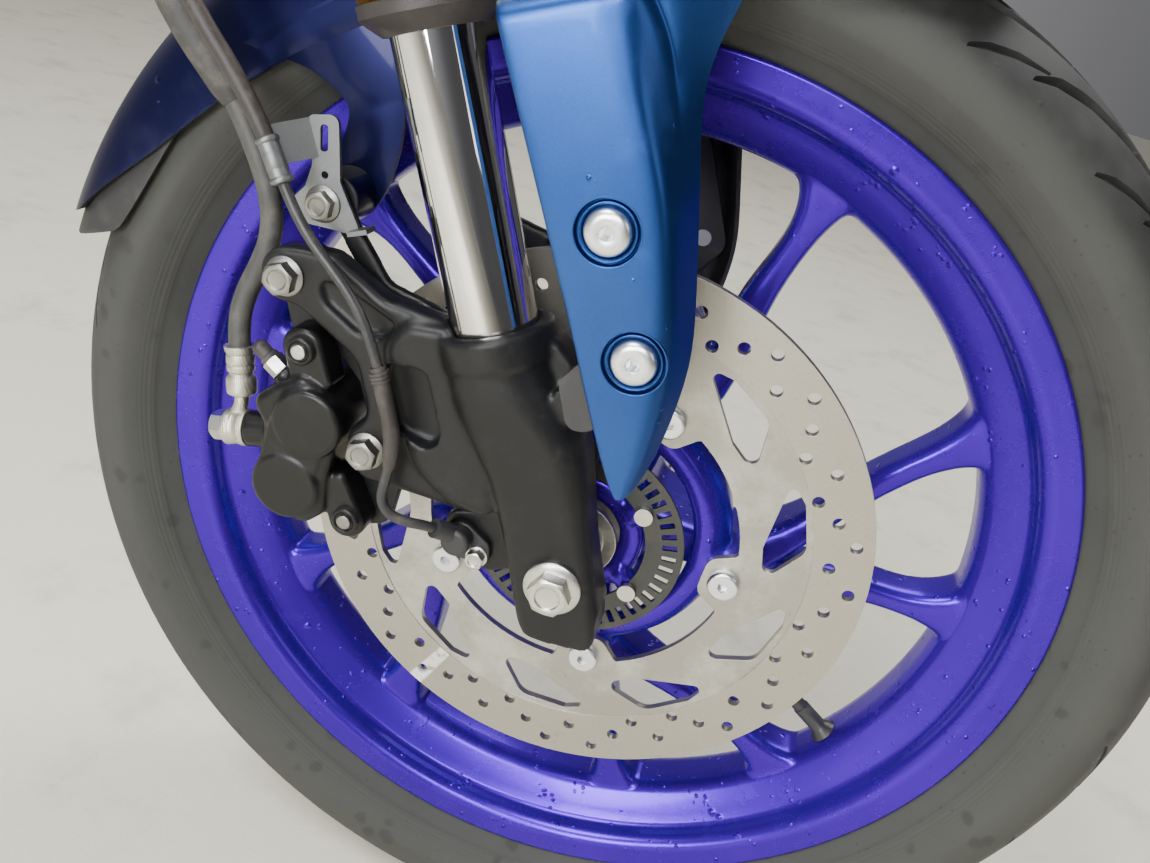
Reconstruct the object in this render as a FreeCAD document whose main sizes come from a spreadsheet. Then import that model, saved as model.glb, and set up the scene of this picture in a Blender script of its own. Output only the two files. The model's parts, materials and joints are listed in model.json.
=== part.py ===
import FreeCAD, Part
import math
import os
import Sketcher
from FreeCAD import Placement, Rotation, Vector

# Front end of a light sport motorcycle: wheel, brake, fork, mudguard and yokes.
# Right side is -Y. Wheel pieces are drawn about the wheel's centre, with Y along the axle.
# Fork pieces are drawn about the foot of the fork tubes' axis, leaning back by the rake:
# X runs forward, square to the tubes, Y to the left and Z up along the tubes.
# The whole part's origin is the steering stem's lower bearing seat, with Z straight up.

sizes = [
    # steering and fork layout, millimetres and degrees
    ("rake", 25.0),
    ("yoke_offset", 30.0),
    ("axle_lead", 8.0),
    ("leg_spacing", 92.0),
    ("seat_height", 477.0),
    ("seat_length", 14.0),
    ("slack", 0.05),
    # tyre
    ("tyre_radius", 293.0),
    ("tyre_half_width", 54.6),
    ("tyre_crown_drop", 22.0),
    ("tyre_tread_thickness", 9.0),
    ("tyre_crown_round", 68.0),
    ("tyre_shoulder_round", 26.0),
    ("tyre_wall_round", 40.0),
    ("tyre_inside_round", 66.0),
    # rim and hub
    ("flange_radius", 231.5),
    ("rim_half_width", 38.0),
    ("flange_thickness", 3.2),
    ("bead_seat_radius", 218.3),
    ("well_radius", 197.5),
    ("rim_underside_radius", 191.0),
    ("rim_ridge_radius", 203.0),
    ("rim_channel_radius", 213.0),
    ("hub_radius", 31.0),
    ("hub_half_length", 46.0),
    ("hub_nose", 55.0),
    ("band_radius", 73.0),
    ("band_thickness", 6.0),
    ("spoke_width", 15.0),
    ("spoke_depth", 26.0),
    ("bearing_radius", 20.0),
    ("bearing_width", 12.0),
    ("axle_radius", 8.5),
    ("axle_flange_radius", 13.3),
    ("collar_radius", 20.0),
    # brake disc and tone ring
    ("disc_radius", 141.0),
    ("disc_inner_radius", 78.5),
    ("disc_thickness", 4.5),
    ("disc_face", 51.7),
    ("disc_bolt_circle", 75.0),
    ("disc_bolt_radius", 4.0),
    ("disc_ear_radius", 12.0),
    ("disc_nose_radius", 63.0),
    ("disc_hole_radius", 3.0),
    ("disc_bolt_head_radius", 8.0),
    ("disc_bolt_head", 4.5),
    ("disc_track_radius", 113.0),
    ("disc_step", 0.5),
    ("tone_radius", 53.0),
    ("tone_bore", 34.0),
    ("tone_face", 60.0),
    ("tone_thickness", 1.6),
    ("tone_bolt_circle", 37.0),
    ("tone_slots", 48),
    ("tone_slot_inner", 42.5),
    ("tone_slot_outer", 49.5),
    ("tone_slot_width", 2.8),
    # valve
    ("valve_angle", -31.5),
    ("valve_radius", 4.6),
    ("valve_length", 20.0),
    # fork legs
    ("stanchion_radius", 18.5),
    ("stanchion_wall", 2.0),
    ("stanchion_length", 516.0),
    ("leg_bore_floor", 84.0),
    ("leg_radius", 24.5),
    ("leg_lip_radius", 26.0),
    ("leg_lip_bottom", 104.0),
    ("leg_lip_top", 119.0),
    ("foot_half_width", 15.0),
    ("seal_bottom", 236.0),
    ("tube_bottom", 248.0),
    ("tube_radius", 25.0),
    ("tube_low_radius", 28.0),
    ("tube_low_top", 330.0),
    ("tube_clamp_radius", 27.0),
    ("bar_seat_radius", 23.5),
    ("bar_seat_length", 30.0),
    ("cap_height", 9.0),
    # yokes and stem
    ("lower_yoke_height", 34.0),
    ("yoke_gap", 170.0),
    ("upper_yoke_height", 24.0),
    ("yoke_wall", 11.0),
    ("stem_seat_radius", 15.0),
    ("stem_radius", 13.0),
    ("stem_bore", 9.0),
    ("stem_nut_height", 11.0),
    ("cap_knob_radius", 11.0),
    # caliper
    ("caliper_angle", 146.3),
    ("caliper_outer_face", 108.0),
    ("caliper_jaw_gap", 21.5),
    ("caliper_inner_jaw", 12.0),
    ("caliper_bridge_gap", 6.0),
    ("caliper_bridge_thickness", 12.0),
    ("piston_radius", 14.0),
    ("pad_gap", 0.5),
    # mudguard and fork covers
    ("guard_gap", 10.0),
    ("guard_side_gap", 7.6),
    ("guard_wall", 2.5),
    ("cover_stand", 29.0),
    ("cover_wall", 2.8),
    ("cover_well_radius", 14.5),
    ("cover_well_depth", 3.2),
    # hose and cable
    ("hose_radius", 5.5),
    ("cable_radius", 2.5),
]

document = FreeCAD.newDocument("FrontEnd")
sheet = document.addObject("Spreadsheet::Sheet", "Sizes")
for row, (word, number) in enumerate(sizes, 1):
    sheet.set("A%d" % row, word)
    sheet.set("B%d" % row, str(number))
    sheet.setAlias("B%d" % row, word)
document.recompute()


class Size:
    # A number together with the sheet formula that gives it.

    def __init__(self, number, formula):
        self.number = number
        self.formula = formula

    def joined(self, sign, other, number):
        return Size(number, "(%s %s %s)" % (self.formula, sign, formulaOf(other)))

    def __add__(self, other):
        return self.joined("+", other, self.number + numberOf(other))

    def __sub__(self, other):
        return self.joined("-", other, self.number - numberOf(other))

    def __mul__(self, other):
        return self.joined("*", other, self.number * numberOf(other))

    def __truediv__(self, other):
        return self.joined("/", other, self.number / numberOf(other))

    def __neg__(self):
        return Size(-self.number, "(0 - %s)" % self.formula)


def numberOf(value):
    return value.number if isinstance(value, Size) else float(value)


def formulaOf(value):
    return value.formula if isinstance(value, Size) else repr(float(value))


class SizeNames:
    pass


# s holds each size with its formula, and n the plain numbers.
s = SizeNames()
for word, number in sizes:
    setattr(s, word, Size(float(number), "Sizes." + word))

# Heights and faces that follow from the sizes above.
s.tyre_shoulder_radius = s.tyre_radius - s.tyre_crown_drop
s.foot_outer_face = s.leg_spacing + s.foot_half_width
s.foot_inner_face = s.leg_spacing - s.foot_half_width
s.stanchion_top = s.leg_bore_floor + s.stanchion_length
s.lower_yoke_top = s.seat_height - s.seat_length / 2
s.lower_yoke_bottom = s.lower_yoke_top - s.lower_yoke_height
s.upper_yoke_bottom = s.lower_yoke_top + s.yoke_gap
s.upper_yoke_top = s.upper_yoke_bottom + s.upper_yoke_height
s.tube_shoulder = s.upper_yoke_top + 1
s.tube_top = s.tube_shoulder + s.bar_seat_length
s.stem_top = s.upper_yoke_top + s.stem_nut_height + 1
s.guard_radius = s.tyre_radius + s.guard_gap
s.guard_half_width = s.tyre_half_width + s.guard_side_gap
s.cover_face = s.leg_spacing + s.cover_stand
n = SizeNames()
for word, size in vars(s).items():
    setattr(n, word, size.number)

rakeTurn = Rotation(Vector(0, -1, 0), n.rake)
forkBase = rakeTurn.multVec(Vector(n.yoke_offset, 0, -n.seat_height))
wheelBase = rakeTurn.multVec(Vector(n.yoke_offset + n.axle_lead, 0, -n.seat_height))
partNames = []


def bind(thing, formulas):
    # Each property follows its formula, and starts at the formula's number.
    for name, value in formulas.items():
        thing.setExpression(name, formulaOf(value))


def placeInWheel(thing):
    reach = s.yoke_offset + s.axle_lead
    thing.Placement = Placement(wheelBase, Rotation())
    thing.setExpression("Placement.Base.x", "%s * cos(Sizes.rake * 1deg) + Sizes.seat_height * sin(Sizes.rake * 1deg)"
                        % reach.formula)
    thing.setExpression("Placement.Base.z", "%s * sin(Sizes.rake * 1deg) - Sizes.seat_height * cos(Sizes.rake * 1deg)"
                        % reach.formula)


def placeInFork(thing):
    thing.Placement = Placement(forkBase, rakeTurn)
    thing.setExpression("Placement.Rotation.Angle", "Sizes.rake * 1deg")
    thing.setExpression("Placement.Base.x",
                        "Sizes.yoke_offset * cos(Sizes.rake * 1deg) + Sizes.seat_height * sin(Sizes.rake * 1deg)")
    thing.setExpression("Placement.Base.z",
                        "Sizes.yoke_offset * sin(Sizes.rake * 1deg) - Sizes.seat_height * cos(Sizes.rake * 1deg)")


def keep(thing, label, place):
    thing.Label = label
    place(thing)
    partNames.append(thing.Name)
    return thing


def shapeOf(name, shape):
    feature = document.addObject("Part::Feature", name)
    feature.Shape = shape
    return feature


def sketchOn(body, role, name, lift=None):
    plane = [item for item in body.Origin.OriginFeatures if item.Role == role][0]
    sketch = body.newObject("Sketcher::SketchObject", name)
    sketch.AttachmentSupport = (plane, "")
    sketch.MapMode = "FlatFace"
    if lift is not None:
        sketch.AttachmentOffset = Placement(Vector(0, 0, numberOf(lift)), Rotation())
        sketch.setExpression("AttachmentOffset.Base.z", formulaOf(lift))
    return sketch


def pinTo(sketch, edge, end, x, y):
    # A point's two coordinates are tied to the sheet, or to an axis where one is zero.
    for kind, value, axis in (("DistanceX", x, -2), ("DistanceY", y, -1)):
        if numberOf(value) == 0:
            sketch.addConstraint(Sketcher.Constraint("PointOnObject", edge, end, axis))
            continue
        index = sketch.addConstraint(Sketcher.Constraint(kind, edge, end, numberOf(value)))
        if isinstance(value, Size):
            sketch.setExpression("Constraints[%d]" % index, value.formula)


def outline(sketch, corners):
    # corners: (x, y) ends a straight edge, (x, y, radius) an arc that bulges right of its travel,
    # or left if the radius is negative. The first corner only starts the outline.
    start = corners[-1]
    edges = []
    for corner in corners:
        a = Vector(numberOf(start[0]), numberOf(start[1]), 0)
        b = Vector(numberOf(corner[0]), numberOf(corner[1]), 0)
        if len(corner) == 2:
            edges.append((sketch.addGeometry(Part.LineSegment(a, b), False), None))
        else:
            radius = numberOf(corner[2])
            chord = b - a
            rise = abs(radius) - math.sqrt(radius * radius - chord.Length * chord.Length / 4)
            side = Vector(chord.y, -chord.x, 0).normalize() * math.copysign(rise, radius)
            middle = (a + b) / 2 + side
            # An arc in a sketch runs anticlockwise, so one that bulges left is drawn end first.
            arc = Part.Arc(a, middle, b) if radius > 0 else Part.Arc(b, middle, a)
            edges.append((sketch.addGeometry(arc, False), corner[2]))
        start = corner
    for place, (edge, radius) in enumerate(edges):
        flipped = radius is not None and numberOf(radius) < 0
        first, last = (2, 1) if flipped else (1, 2)
        edges[place] = (edge, first, last, radius, corners[place])
    for place, (edge, first, last, radius, corner) in enumerate(edges):
        following = edges[(place + 1) % len(edges)]
        sketch.addConstraint(Sketcher.Constraint("Coincident", edge, last, following[0], following[1]))
        pinTo(sketch, edge, last, corner[0], corner[1])
        if radius is not None:
            index = sketch.addConstraint(Sketcher.Constraint("Radius", edge, abs(numberOf(radius))))
            if isinstance(radius, Size):
                sign = "" if radius.number > 0 else "-1 * "
                sketch.setExpression("Constraints[%d]" % index, sign + radius.formula)


def revolved(name, corners):
    # A turned piece: X in the outline is the radius and Y the place along the wheel's axle.
    body = document.addObject("PartDesign::Body", name)
    sketch = sketchOn(body, "XY_Plane", name + "Profile")
    outline(sketch, corners)
    turn = body.newObject("PartDesign::Revolution", name + "Turn")
    turn.Profile = sketch
    turn.ReferenceAxis = (sketch, ["V_Axis"])
    turn.Angle = 360
    return body


def turnedUp(name, corners):
    # A turned piece about the fork's own Z: X is the radius and Y the height.
    body = document.addObject("PartDesign::Body", name)
    sketch = sketchOn(body, "XZ_Plane", name + "Profile")
    outline(sketch, corners)
    turn = body.newObject("PartDesign::Revolution", name + "Turn")
    turn.Profile = sketch
    turn.ReferenceAxis = (sketch, ["V_Axis"])
    turn.Angle = 360
    return body


def padded(body, sketch, length, name):
    pad = body.newObject("PartDesign::Pad", name)
    pad.Profile = sketch
    pad.Length = numberOf(length)
    pad.setExpression("Length", formulaOf(length))
    return pad


def ring(sketch, x, y, radius):
    circle = sketch.addGeometry(Part.Circle(Vector(numberOf(x), numberOf(y), 0), Vector(0, 0, 1),
                                            numberOf(radius)), False)
    index = sketch.addConstraint(Sketcher.Constraint("Radius", circle, numberOf(radius)))
    if isinstance(radius, Size):
        sketch.setExpression("Constraints[%d]" % index, radius.formula)
    if numberOf(x) == 0 and numberOf(y) == 0:
        sketch.addConstraint(Sketcher.Constraint("Coincident", circle, 3, -1, 1))
    else:
        pinTo(sketch, circle, 3, x, y)
    return circle


def repeated(body, feature, sketch, count, name):
    pattern = body.newObject("PartDesign::PolarPattern", name)
    pattern.Originals = [feature]
    pattern.Axis = (sketch, ["N_Axis"])
    pattern.Angle = 360
    pattern.Occurrences = int(numberOf(count))
    if isinstance(count, Size):
        pattern.setExpression("Occurrences", count.formula)
    body.Tip = pattern
    return pattern


def cylinder(name, radius, height, x, y, z, along):
    # A round bar from (x, y, z) along "-Y", "+Y" or "+Z".
    turns = {"-Y": Rotation(Vector(1, 0, 0), 90), "+Y": Rotation(Vector(1, 0, 0), -90), "+Z": Rotation()}
    bar = document.addObject("Part::Cylinder", name)
    bar.Placement = Placement(Vector(numberOf(x), numberOf(y), numberOf(z)), turns[along])
    bind(bar, {"Radius": radius, "Height": height, "Placement.Base.x": x, "Placement.Base.y": y,
               "Placement.Base.z": z})
    return bar


def fused(name, things):
    joined = document.addObject("Part::MultiFuse", name)
    joined.Shapes = things
    return joined


def cutBy(name, base, tool):
    cut = document.addObject("Part::Cut", name)
    cut.Base = base
    cut.Tool = tool
    return cut


def gathered(name, things):
    # Like pieces that don't touch share one node.
    group = document.addObject("Part::Compound", name)
    group.Links = things
    return group


# Shapes for pieces whose outlines are drawn in the XZ plane and have thickness along Y.

def polar(radius, angle):
    return radius * math.cos(math.radians(angle)), radius * math.sin(math.radians(angle))


def polarCorners(corners, shift=0.0):
    # Corners given as radius, angle and corner radius.
    return [(*polar(radius, angle + shift), corner) for radius, angle, corner in corners]


def roundedWire(corners, level, flat=False):
    # corners: (x, z, corner radius), or (x, y, corner radius) where flat. Straight runs with a
    # tangent arc at each rounded corner.
    points = [Vector(c[0], c[1], level) if flat else Vector(c[0], level, c[1]) for c in corners]
    runs = []
    for place, corner in enumerate(corners):
        here = points[place]
        toBack = (points[place - 1] - here).normalize()
        toNext = (points[(place + 1) % len(points)] - here).normalize()
        radius = corner[2] if len(corner) > 2 else 0
        if radius == 0:
            runs.append((here, None, here))
            continue
        half = toBack.getAngle(toNext) / 2
        room = min((points[place - 1] - here).Length, (points[(place + 1) % len(points)] - here).Length)
        leg = min(radius / math.tan(half), 0.48 * room)
        radius = leg * math.tan(half)
        middle = (toBack + toNext).normalize()
        top = here + middle * (radius / math.sin(half) - radius)
        runs.append((here + toBack * leg, top, here + toNext * leg))
    edges = []
    for place, (first, top, last) in enumerate(runs):
        if top is not None:
            edges.append(Part.Arc(first, top, last).toShape())
        following = runs[(place + 1) % len(runs)][0]
        if last.distanceToPoint(following) > 1e-6:
            edges.append(Part.LineSegment(last, following).toShape())
    return Part.Wire(edges)


def plate(corners, low, high):
    # A flat outline in XZ, thick from y = low to y = high.
    low, high = sorted((low, high))
    return Part.Face(roundedWire(corners, low)).extrude(Vector(0, high - low, 0))


def softPlate(corners, face, back, soft):
    # A plate whose rim is rounded over on one face.
    solid = plate(corners, face, back)
    rim = [edge for edge in solid.Edges
           if abs(edge.BoundBox.YMin - face) < 0.001 and abs(edge.BoundBox.YMax - face) < 0.001]
    return solid.makeFillet(soft, rim)


def slab(corners, bottom, top):
    # A flat outline in XY, thick from z = bottom to z = top.
    return Part.Face(roundedWire(corners, bottom, True)).extrude(Vector(0, 0, top - bottom))


def bar(x, z, radius, low, high):
    low, high = sorted((low, high))
    return Part.makeCylinder(radius, high - low, Vector(x, low, z), Vector(0, 1, 0))


def domed(x, z, radius, face, back, soft):
    # A round boss from back to face, rounded over at its face.
    solid = bar(x, z, radius, face, back)
    rim = [edge for edge in solid.Edges
           if abs(edge.BoundBox.YMin - face) < 0.001 and abs(edge.BoundBox.YMax - face) < 0.001]
    return solid.makeFillet(soft, rim)


def hexHead(x, z, across, face, back):
    # A hexagon head, given its width across flats.
    around = [polar(across / math.sqrt(3), 30 + 60 * k) for k in range(6)]
    return plate([(x + a, z + b, 0) for a, b in around], face, back)


def flangeBolt(x, z, across, face, seat, tip, shank):
    # A hexagon head on a round flange, with its shank.
    flange = seat + (face - seat) * 0.25
    head = hexHead(x, z, across, face, flange)
    return head.fuse([bar(x, z, across * 0.68, flange, seat), bar(x, z, shank, seat, tip)])


def hexBetween(start, along, radius, height):
    # A hexagon bar from a point along any direction.
    across = along.cross(Vector(0, 1, 0)).normalize()
    other = along.cross(across)
    corners = []
    for k in range(7):
        x, z = polar(radius, 60 * k)
        corners.append(start + across * x + other * z)
    return Part.Face(Part.makePolygon(corners)).extrude(along * height)


def rodBetween(start, end, radius):
    return Part.makeCylinder(radius, (end - start).Length, start, end - start)


def sector(inner, outer, first, last, low, high):
    # Part of a flat ring about the axle between two angles.
    a, b = [Vector(polar(inner, t)[0], low, polar(inner, t)[1]) for t in (first, last)]
    c, d = [Vector(polar(outer, t)[0], low, polar(outer, t)[1]) for t in (last, first)]
    middle = (first + last) / 2
    innerTop = Vector(polar(inner, middle)[0], low, polar(inner, middle)[1])
    outerTop = Vector(polar(outer, middle)[0], low, polar(outer, middle)[1])
    wire = Part.Wire([Part.Arc(a, innerTop, b).toShape(), Part.LineSegment(b, c).toShape(),
                      Part.Arc(c, outerTop, d).toShape(), Part.LineSegment(d, a).toShape()])
    return Part.Face(wire).extrude(Vector(0, high - low, 0))


def softSection(centre, across, width, depth, corner):
    # A rounded rectangle, width along "across" and depth along Y, for a loft.
    side = across * (width / 2 - corner)
    wide = across * (width / 2)
    deep = Vector(0, depth / 2 - corner, 0)
    full = Vector(0, depth / 2, 0)
    diagonal = math.sqrt(0.5) * corner
    edges = []
    turns = [(1, 1), (-1, 1), (-1, -1), (1, -1)]
    for place, (i, j) in enumerate(turns):
        first = centre + (wide * i + deep * j if i * j > 0 else side * i + full * j)
        last = centre + (side * i + full * j if i * j > 0 else wide * i + deep * j)
        top = centre + side * i + deep * j + across * (diagonal * i) + Vector(0, diagonal * j, 0)
        edges.append(Part.Arc(first, top, last).toShape())
        nextI, nextJ = turns[(place + 1) % 4]
        following = centre + (wide * nextI + deep * nextJ if nextI * nextJ > 0 else side * nextI + full * nextJ)
        edges.append(Part.LineSegment(last, following).toShape())
    return Part.Wire(edges)


def tube(points, radius):
    # A round cord along straight runs joined by tangent arcs, as large as the runs allow.
    edges = []
    start = points[0]
    tightest = None
    for place in range(1, len(points) - 1):
        here = points[place]
        toBack = points[place - 1] - here
        toNext = points[place + 1] - here
        run = min(toBack.Length, toNext.Length)
        toBack.normalize()
        toNext.normalize()
        turn = math.pi - toBack.getAngle(toNext)
        bend = 0.45 * run / math.tan(turn / 2)
        tightest = bend if tightest is None else min(tightest, bend)
        first = here + toBack * (0.45 * run)
        last = here + toNext * (0.45 * run)
        middle = (toBack + toNext).normalize()
        top = here + middle * (bend / math.cos(turn / 2) - bend)
        edges.append(Part.LineSegment(start, first).toShape())
        edges.append(Part.Arc(first, top, last).toShape())
        start = last
    edges.append(Part.LineSegment(start, points[-1]).toShape())
    path = Part.Wire(edges)
    section = Part.Wire([Part.Circle(points[0], points[1] - points[0], radius).toShape()])
    solid = path.makePipeShell([section], True, True)
    wanted = math.pi * radius * radius * path.Length
    print("cord length %.0f, tightest bend %.0f, volume ratio %.4f" % (path.Length, tightest, solid.Volume / wanted))
    return solid


# Tyre: a hollow ring on the bead seats, one round crown from shoulder to shoulder.

def makeTyre():
    half = s.tyre_half_width
    bead = s.rim_half_width - s.flange_thickness - s.slack * 4
    seat = s.bead_seat_radius + s.slack * 2
    sides = []
    for side in (1, -1):
        sides.append([
            (s.tyre_radius - s.tyre_tread_thickness - 14, (half - 17) * side),
            (s.bead_seat_radius + 14, (bead - 6) * side),
            (seat, (bead - 9) * side),
            (seat, bead * side),
            (s.flange_radius + 0.8, bead * side),
            (s.flange_radius + 5, (bead + 6) * side),
            (s.tyre_shoulder_radius - 17, half * side, -s.tyre_wall_round),
            (s.tyre_shoulder_radius, (half - 4) * side, -s.tyre_shoulder_round),
        ])
    left, right = sides
    # Going back down the right side, each arc belongs to the corner it ends at.
    back = [
        (*right[7][:2], -s.tyre_crown_round),
        (*right[6][:2], -s.tyre_shoulder_round),
        (*right[5], -s.tyre_wall_round),
        right[4], right[3], right[2], right[1], right[0],
    ]
    inside = (*left[0], s.tyre_inside_round)
    return keep(revolved("Tyre", [inside] + left[1:] + back), "tyre", placeInWheel)


# Rim: a turned barrel with a drop centre, lips and a channel under each bead seat.

def makeBarrel():
    def side(sign):
        return [
            (s.rim_ridge_radius - 9, 14 * sign),
            (s.rim_ridge_radius, 20 * sign),
            (s.rim_channel_radius - 3, 24 * sign),
            (s.rim_channel_radius, (s.rim_half_width - 4) * sign),
            (s.rim_channel_radius + 4, s.rim_half_width * sign),
            (s.flange_radius - 1.2, s.rim_half_width * sign),
            (s.flange_radius, (s.rim_half_width - 1.2) * sign),
            (s.flange_radius, (s.rim_half_width - s.flange_thickness) * sign),
            (s.bead_seat_radius, (s.rim_half_width - s.flange_thickness) * sign),
            (s.bead_seat_radius - 1, 21 * sign),
            (s.well_radius, 11 * sign),
        ]
    left = side(1)
    right = side(-1)[::-1]
    return revolved("RimBarrel", left + right + [(s.rim_underside_radius, -9), (s.rim_underside_radius, 9)])


def loftThrough(stations):
    # stations: radius, angle, centre along the axle, width, depth, corner. A few soft sections.
    centres = []
    for radius, angle, y, width, depth, corner in stations:
        x, z = polar(radius, angle)
        centres.append(Vector(x, y, z))
    wires = []
    for place, (radius, angle, y, width, depth, corner) in enumerate(stations):
        before = centres[max(place - 1, 0)]
        after = centres[min(place + 1, len(centres) - 1)]
        run = after - before
        run.y = 0
        across = Vector(-run.z, 0, run.x).normalize()
        wires.append(softSection(centres[place], across, width, depth, corner))
    return Part.makeLoft(wires, True, False)


spokeCount = 5
firstBolt = -1.0
firstToneBolt = 41.5


def boltAngles(first):
    return [first + 360.0 / spokeCount * k for k in range(spokeCount)]


def makeSpokes():
    # Each spoke is a stem from the disc's bolt boss that forks into a swept arm and a radial arm,
    # and both arms flare where they meet the barrel.
    w, d = n.spoke_width, n.spoke_depth
    root = n.disc_bolt_circle
    rim = n.rim_underside_radius
    swept = [
        (root, 0, -6, w * 1.5, d * 1.6, 6),
        (root + 27, 9.6, -2, w * 1.15, d * 1.25, 5.5),
        (rim - 50.5, 23.9, 0, w * 0.92, d, 5),
        (rim - 25, 28.3, 0, w * 0.95, d, 5),
        (rim - 9, 29.9, 0, w * 1.3, d * 1.04, 5.5),
        (rim + 4, 30.8, 0, w * 2.3, d * 1.1, 6),
    ]
    radial = [
        (root, -2, -6, w * 1.5, d * 1.6, 6),
        (root + 33, -3.2, -2, w * 1.1, d * 1.2, 5.5),
        (rim - 42, 0.4, 0, w * 0.92, d, 5),
        (rim - 21, 0.8, 0, w * 0.95, d, 5),
        (rim - 9, 1.2, 0, w * 1.3, d * 1.04, 5.5),
        (rim + 4, 1.7, 0, w * 2.3, d * 1.1, 6),
    ]
    web = [
        (n.hub_radius - 6, 0, -3, w * 1.9, d * 2.5, 6),
        (root - 14, 0, -6, w * 1.35, d * 1.9, 6),
        (root + 4, 0, -6, w * 1.4, d * 1.6, 6),
    ]
    solids = []
    for turn in boltAngles(firstBolt):
        for stations in (swept, radial, web):
            moved = [(r, a + turn, y, wide, deep, corner) for r, a, y, wide, deep, corner in stations]
            solids.append(loftThrough(moved))
    return solids


def makeRim():
    barrel = makeBarrel()
    arms = [shapeOf("SpokeArm%02d" % k, solid) for k, solid in enumerate(makeSpokes())]
    nose = -s.hub_nose
    hub = revolved("HubBarrel", [
        (s.hub_radius, s.hub_half_length - 2),
        (s.hub_radius - 2, s.hub_half_length),
        (s.bearing_radius - 3, s.hub_half_length),
        (s.bearing_radius - 3, nose),
        (s.hub_radius, nose),
        (s.hub_radius + 1, nose + 1),
        (s.hub_radius + 1, nose + 12),
        (s.hub_radius, nose + 18),
    ])
    # The disc carrier is a shallow bowl round the hub, its rim just inside the disc's opening.
    edge = s.band_radius
    bowl = revolved("CarrierBowl", [
        (edge - s.band_thickness * 3, -38),
        (edge - s.band_thickness * 1.8, -38.5),
        (edge - s.band_thickness, -30),
        (edge - s.band_thickness, -19),
        (edge, -19),
        (edge, -31),
        (edge - 3, -40),
        (edge - 8, -45.5),
        (edge - 13, -46.4),
        (edge - s.band_thickness * 3, -44),
    ])
    discBack = s.disc_face - s.disc_thickness
    toneBack = s.tone_face - s.tone_thickness
    bosses = []
    for k, turn in enumerate(boltAngles(firstBolt)):
        x, z = polar(n.disc_bolt_circle, turn)
        bosses.append(cylinder("DiscBoss%d" % k, s.disc_ear_radius - 0.5, discBack - 14, x, -14, z, "-Y"))
    for k, turn in enumerate(boltAngles(firstToneBolt)):
        x, z = polar(n.tone_bolt_circle, turn)
        bosses.append(cylinder("ToneBoss%d" % k, 6, toneBack - 34, x, -34, z, "-Y"))
        reach = n.tone_bolt_circle
        rib = polarCorners([(n.hub_radius - 5, -9, 0), (reach + 3, -6, 2), (reach + 3, 6, 2), (n.hub_radius - 5, 9, 0)], turn)
        bosses.append(shapeOf("ToneRib%d" % k, plate(rib, -34, -toneBack.number)))
    whole = fused("RimBlank", [barrel, hub, bowl] + arms + bosses)
    seats = []
    for name, y, along in (("RightBearingSeat", -s.hub_half_length + s.bearing_width, "-Y"),
                           ("LeftBearingSeat", s.hub_half_length - s.bearing_width, "+Y")):
        seats.append(cylinder(name, s.bearing_radius + s.slack, s.bearing_width + 20, 0, y, 0, along))
    return keep(cutBy("WheelRim", whole, fused("BearingSeats", seats)), "wheel_rim", placeInWheel)


def makeBearings():
    races = []
    for name, y in (("RightBearing", -s.hub_half_length), ("LeftBearing", s.hub_half_length - s.bearing_width)):
        races.append(revolved(name, [
            (s.bearing_radius, y + s.bearing_width),
            (s.axle_radius + s.slack, y + s.bearing_width),
            (s.axle_radius + s.slack, y),
            (s.bearing_radius, y),
        ]))
    return keep(gathered("WheelBearings", races), "wheel_bearings", placeInWheel)


# Brake disc: ears on the bolt circle, a drilled track and leaf-shaped windows between.

discHoles = 64
holeSteps = (121.0, 132.5, 124.5, 116.5, 127.5, 116.5, 124.5, 132.5)
firstHole = 57.6


def makeDisc():
    face = n.disc_face
    back = face - n.disc_thickness
    blank = bar(0, 0, n.disc_radius, -face, -back)
    body = blank.cut(bar(0, 0, n.disc_inner_radius, -face - 1, -back + 1))
    inner = n.disc_nose_radius
    edge = n.disc_inner_radius
    ears = []
    for turn in boltAngles(firstBolt):
        corners = polarCorners([(edge + 5, 16, 0), (edge - 1, 12, 5), (inner + 1.5, 8.5, 7), (inner + 1.5, -8.5, 7),
                                (edge - 1, -12, 5), (edge + 5, -16, 0)], turn)
        ears.append(plate(corners, -face, -back))
    body = body.fuse(ears)
    # The carrier stands a little below the face of the track that the pads run on.
    cuts = [bar(0, 0, n.disc_track_radius, -face - 1, -face + n.disc_step)]
    for turn in boltAngles(firstBolt):
        x, z = polar(n.disc_bolt_circle, turn)
        cuts.append(bar(x, z, n.disc_bolt_radius, -face - 1, -back + 1))
    low = n.disc_inner_radius + 11
    high = n.disc_track_radius - 3
    leaf = [(low + 2, 5.6, 4), (low, 17, 4), (low + 5.5, 25.6, 20), (high - 2.5, 36.9, 3), (high + 0.5, 30, 3),
            (high, 17, 9)]
    for k in range(2 * spokeCount):
        cuts.append(plate(polarCorners(leaf, firstBolt + 36 * k), -face - 1, -back + 1))
    for k in range(discHoles):
        x, z = polar(holeSteps[k % len(holeSteps)], firstHole + 360.0 / discHoles * k)
        cuts.append(bar(x, z, n.disc_hole_radius, -face - 1, -back + 1))
    return keep(shapeOf("BrakeDisc", body.cut(cuts)), "brake_disc", placeInWheel)


def makeDiscBolts():
    bolts = []
    seat = -n.disc_face + n.disc_step
    for turn in boltAngles(firstBolt):
        x, z = polar(n.disc_bolt_circle, turn)
        head = domed(x, z, n.disc_bolt_head_radius, seat - n.disc_bolt_head, seat, 2)
        socket = hexHead(x, z, 5, seat - n.disc_bolt_head - 1, seat - 1.5)
        shank = bar(x, z, n.disc_bolt_radius - n.slack, seat, -n.disc_face + n.disc_thickness)
        bolts.append(head.cut(socket).fuse(shank))
    return keep(shapeOf("DiscBolts", Part.makeCompound(bolts)), "disc_bolts", placeInWheel)


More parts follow.
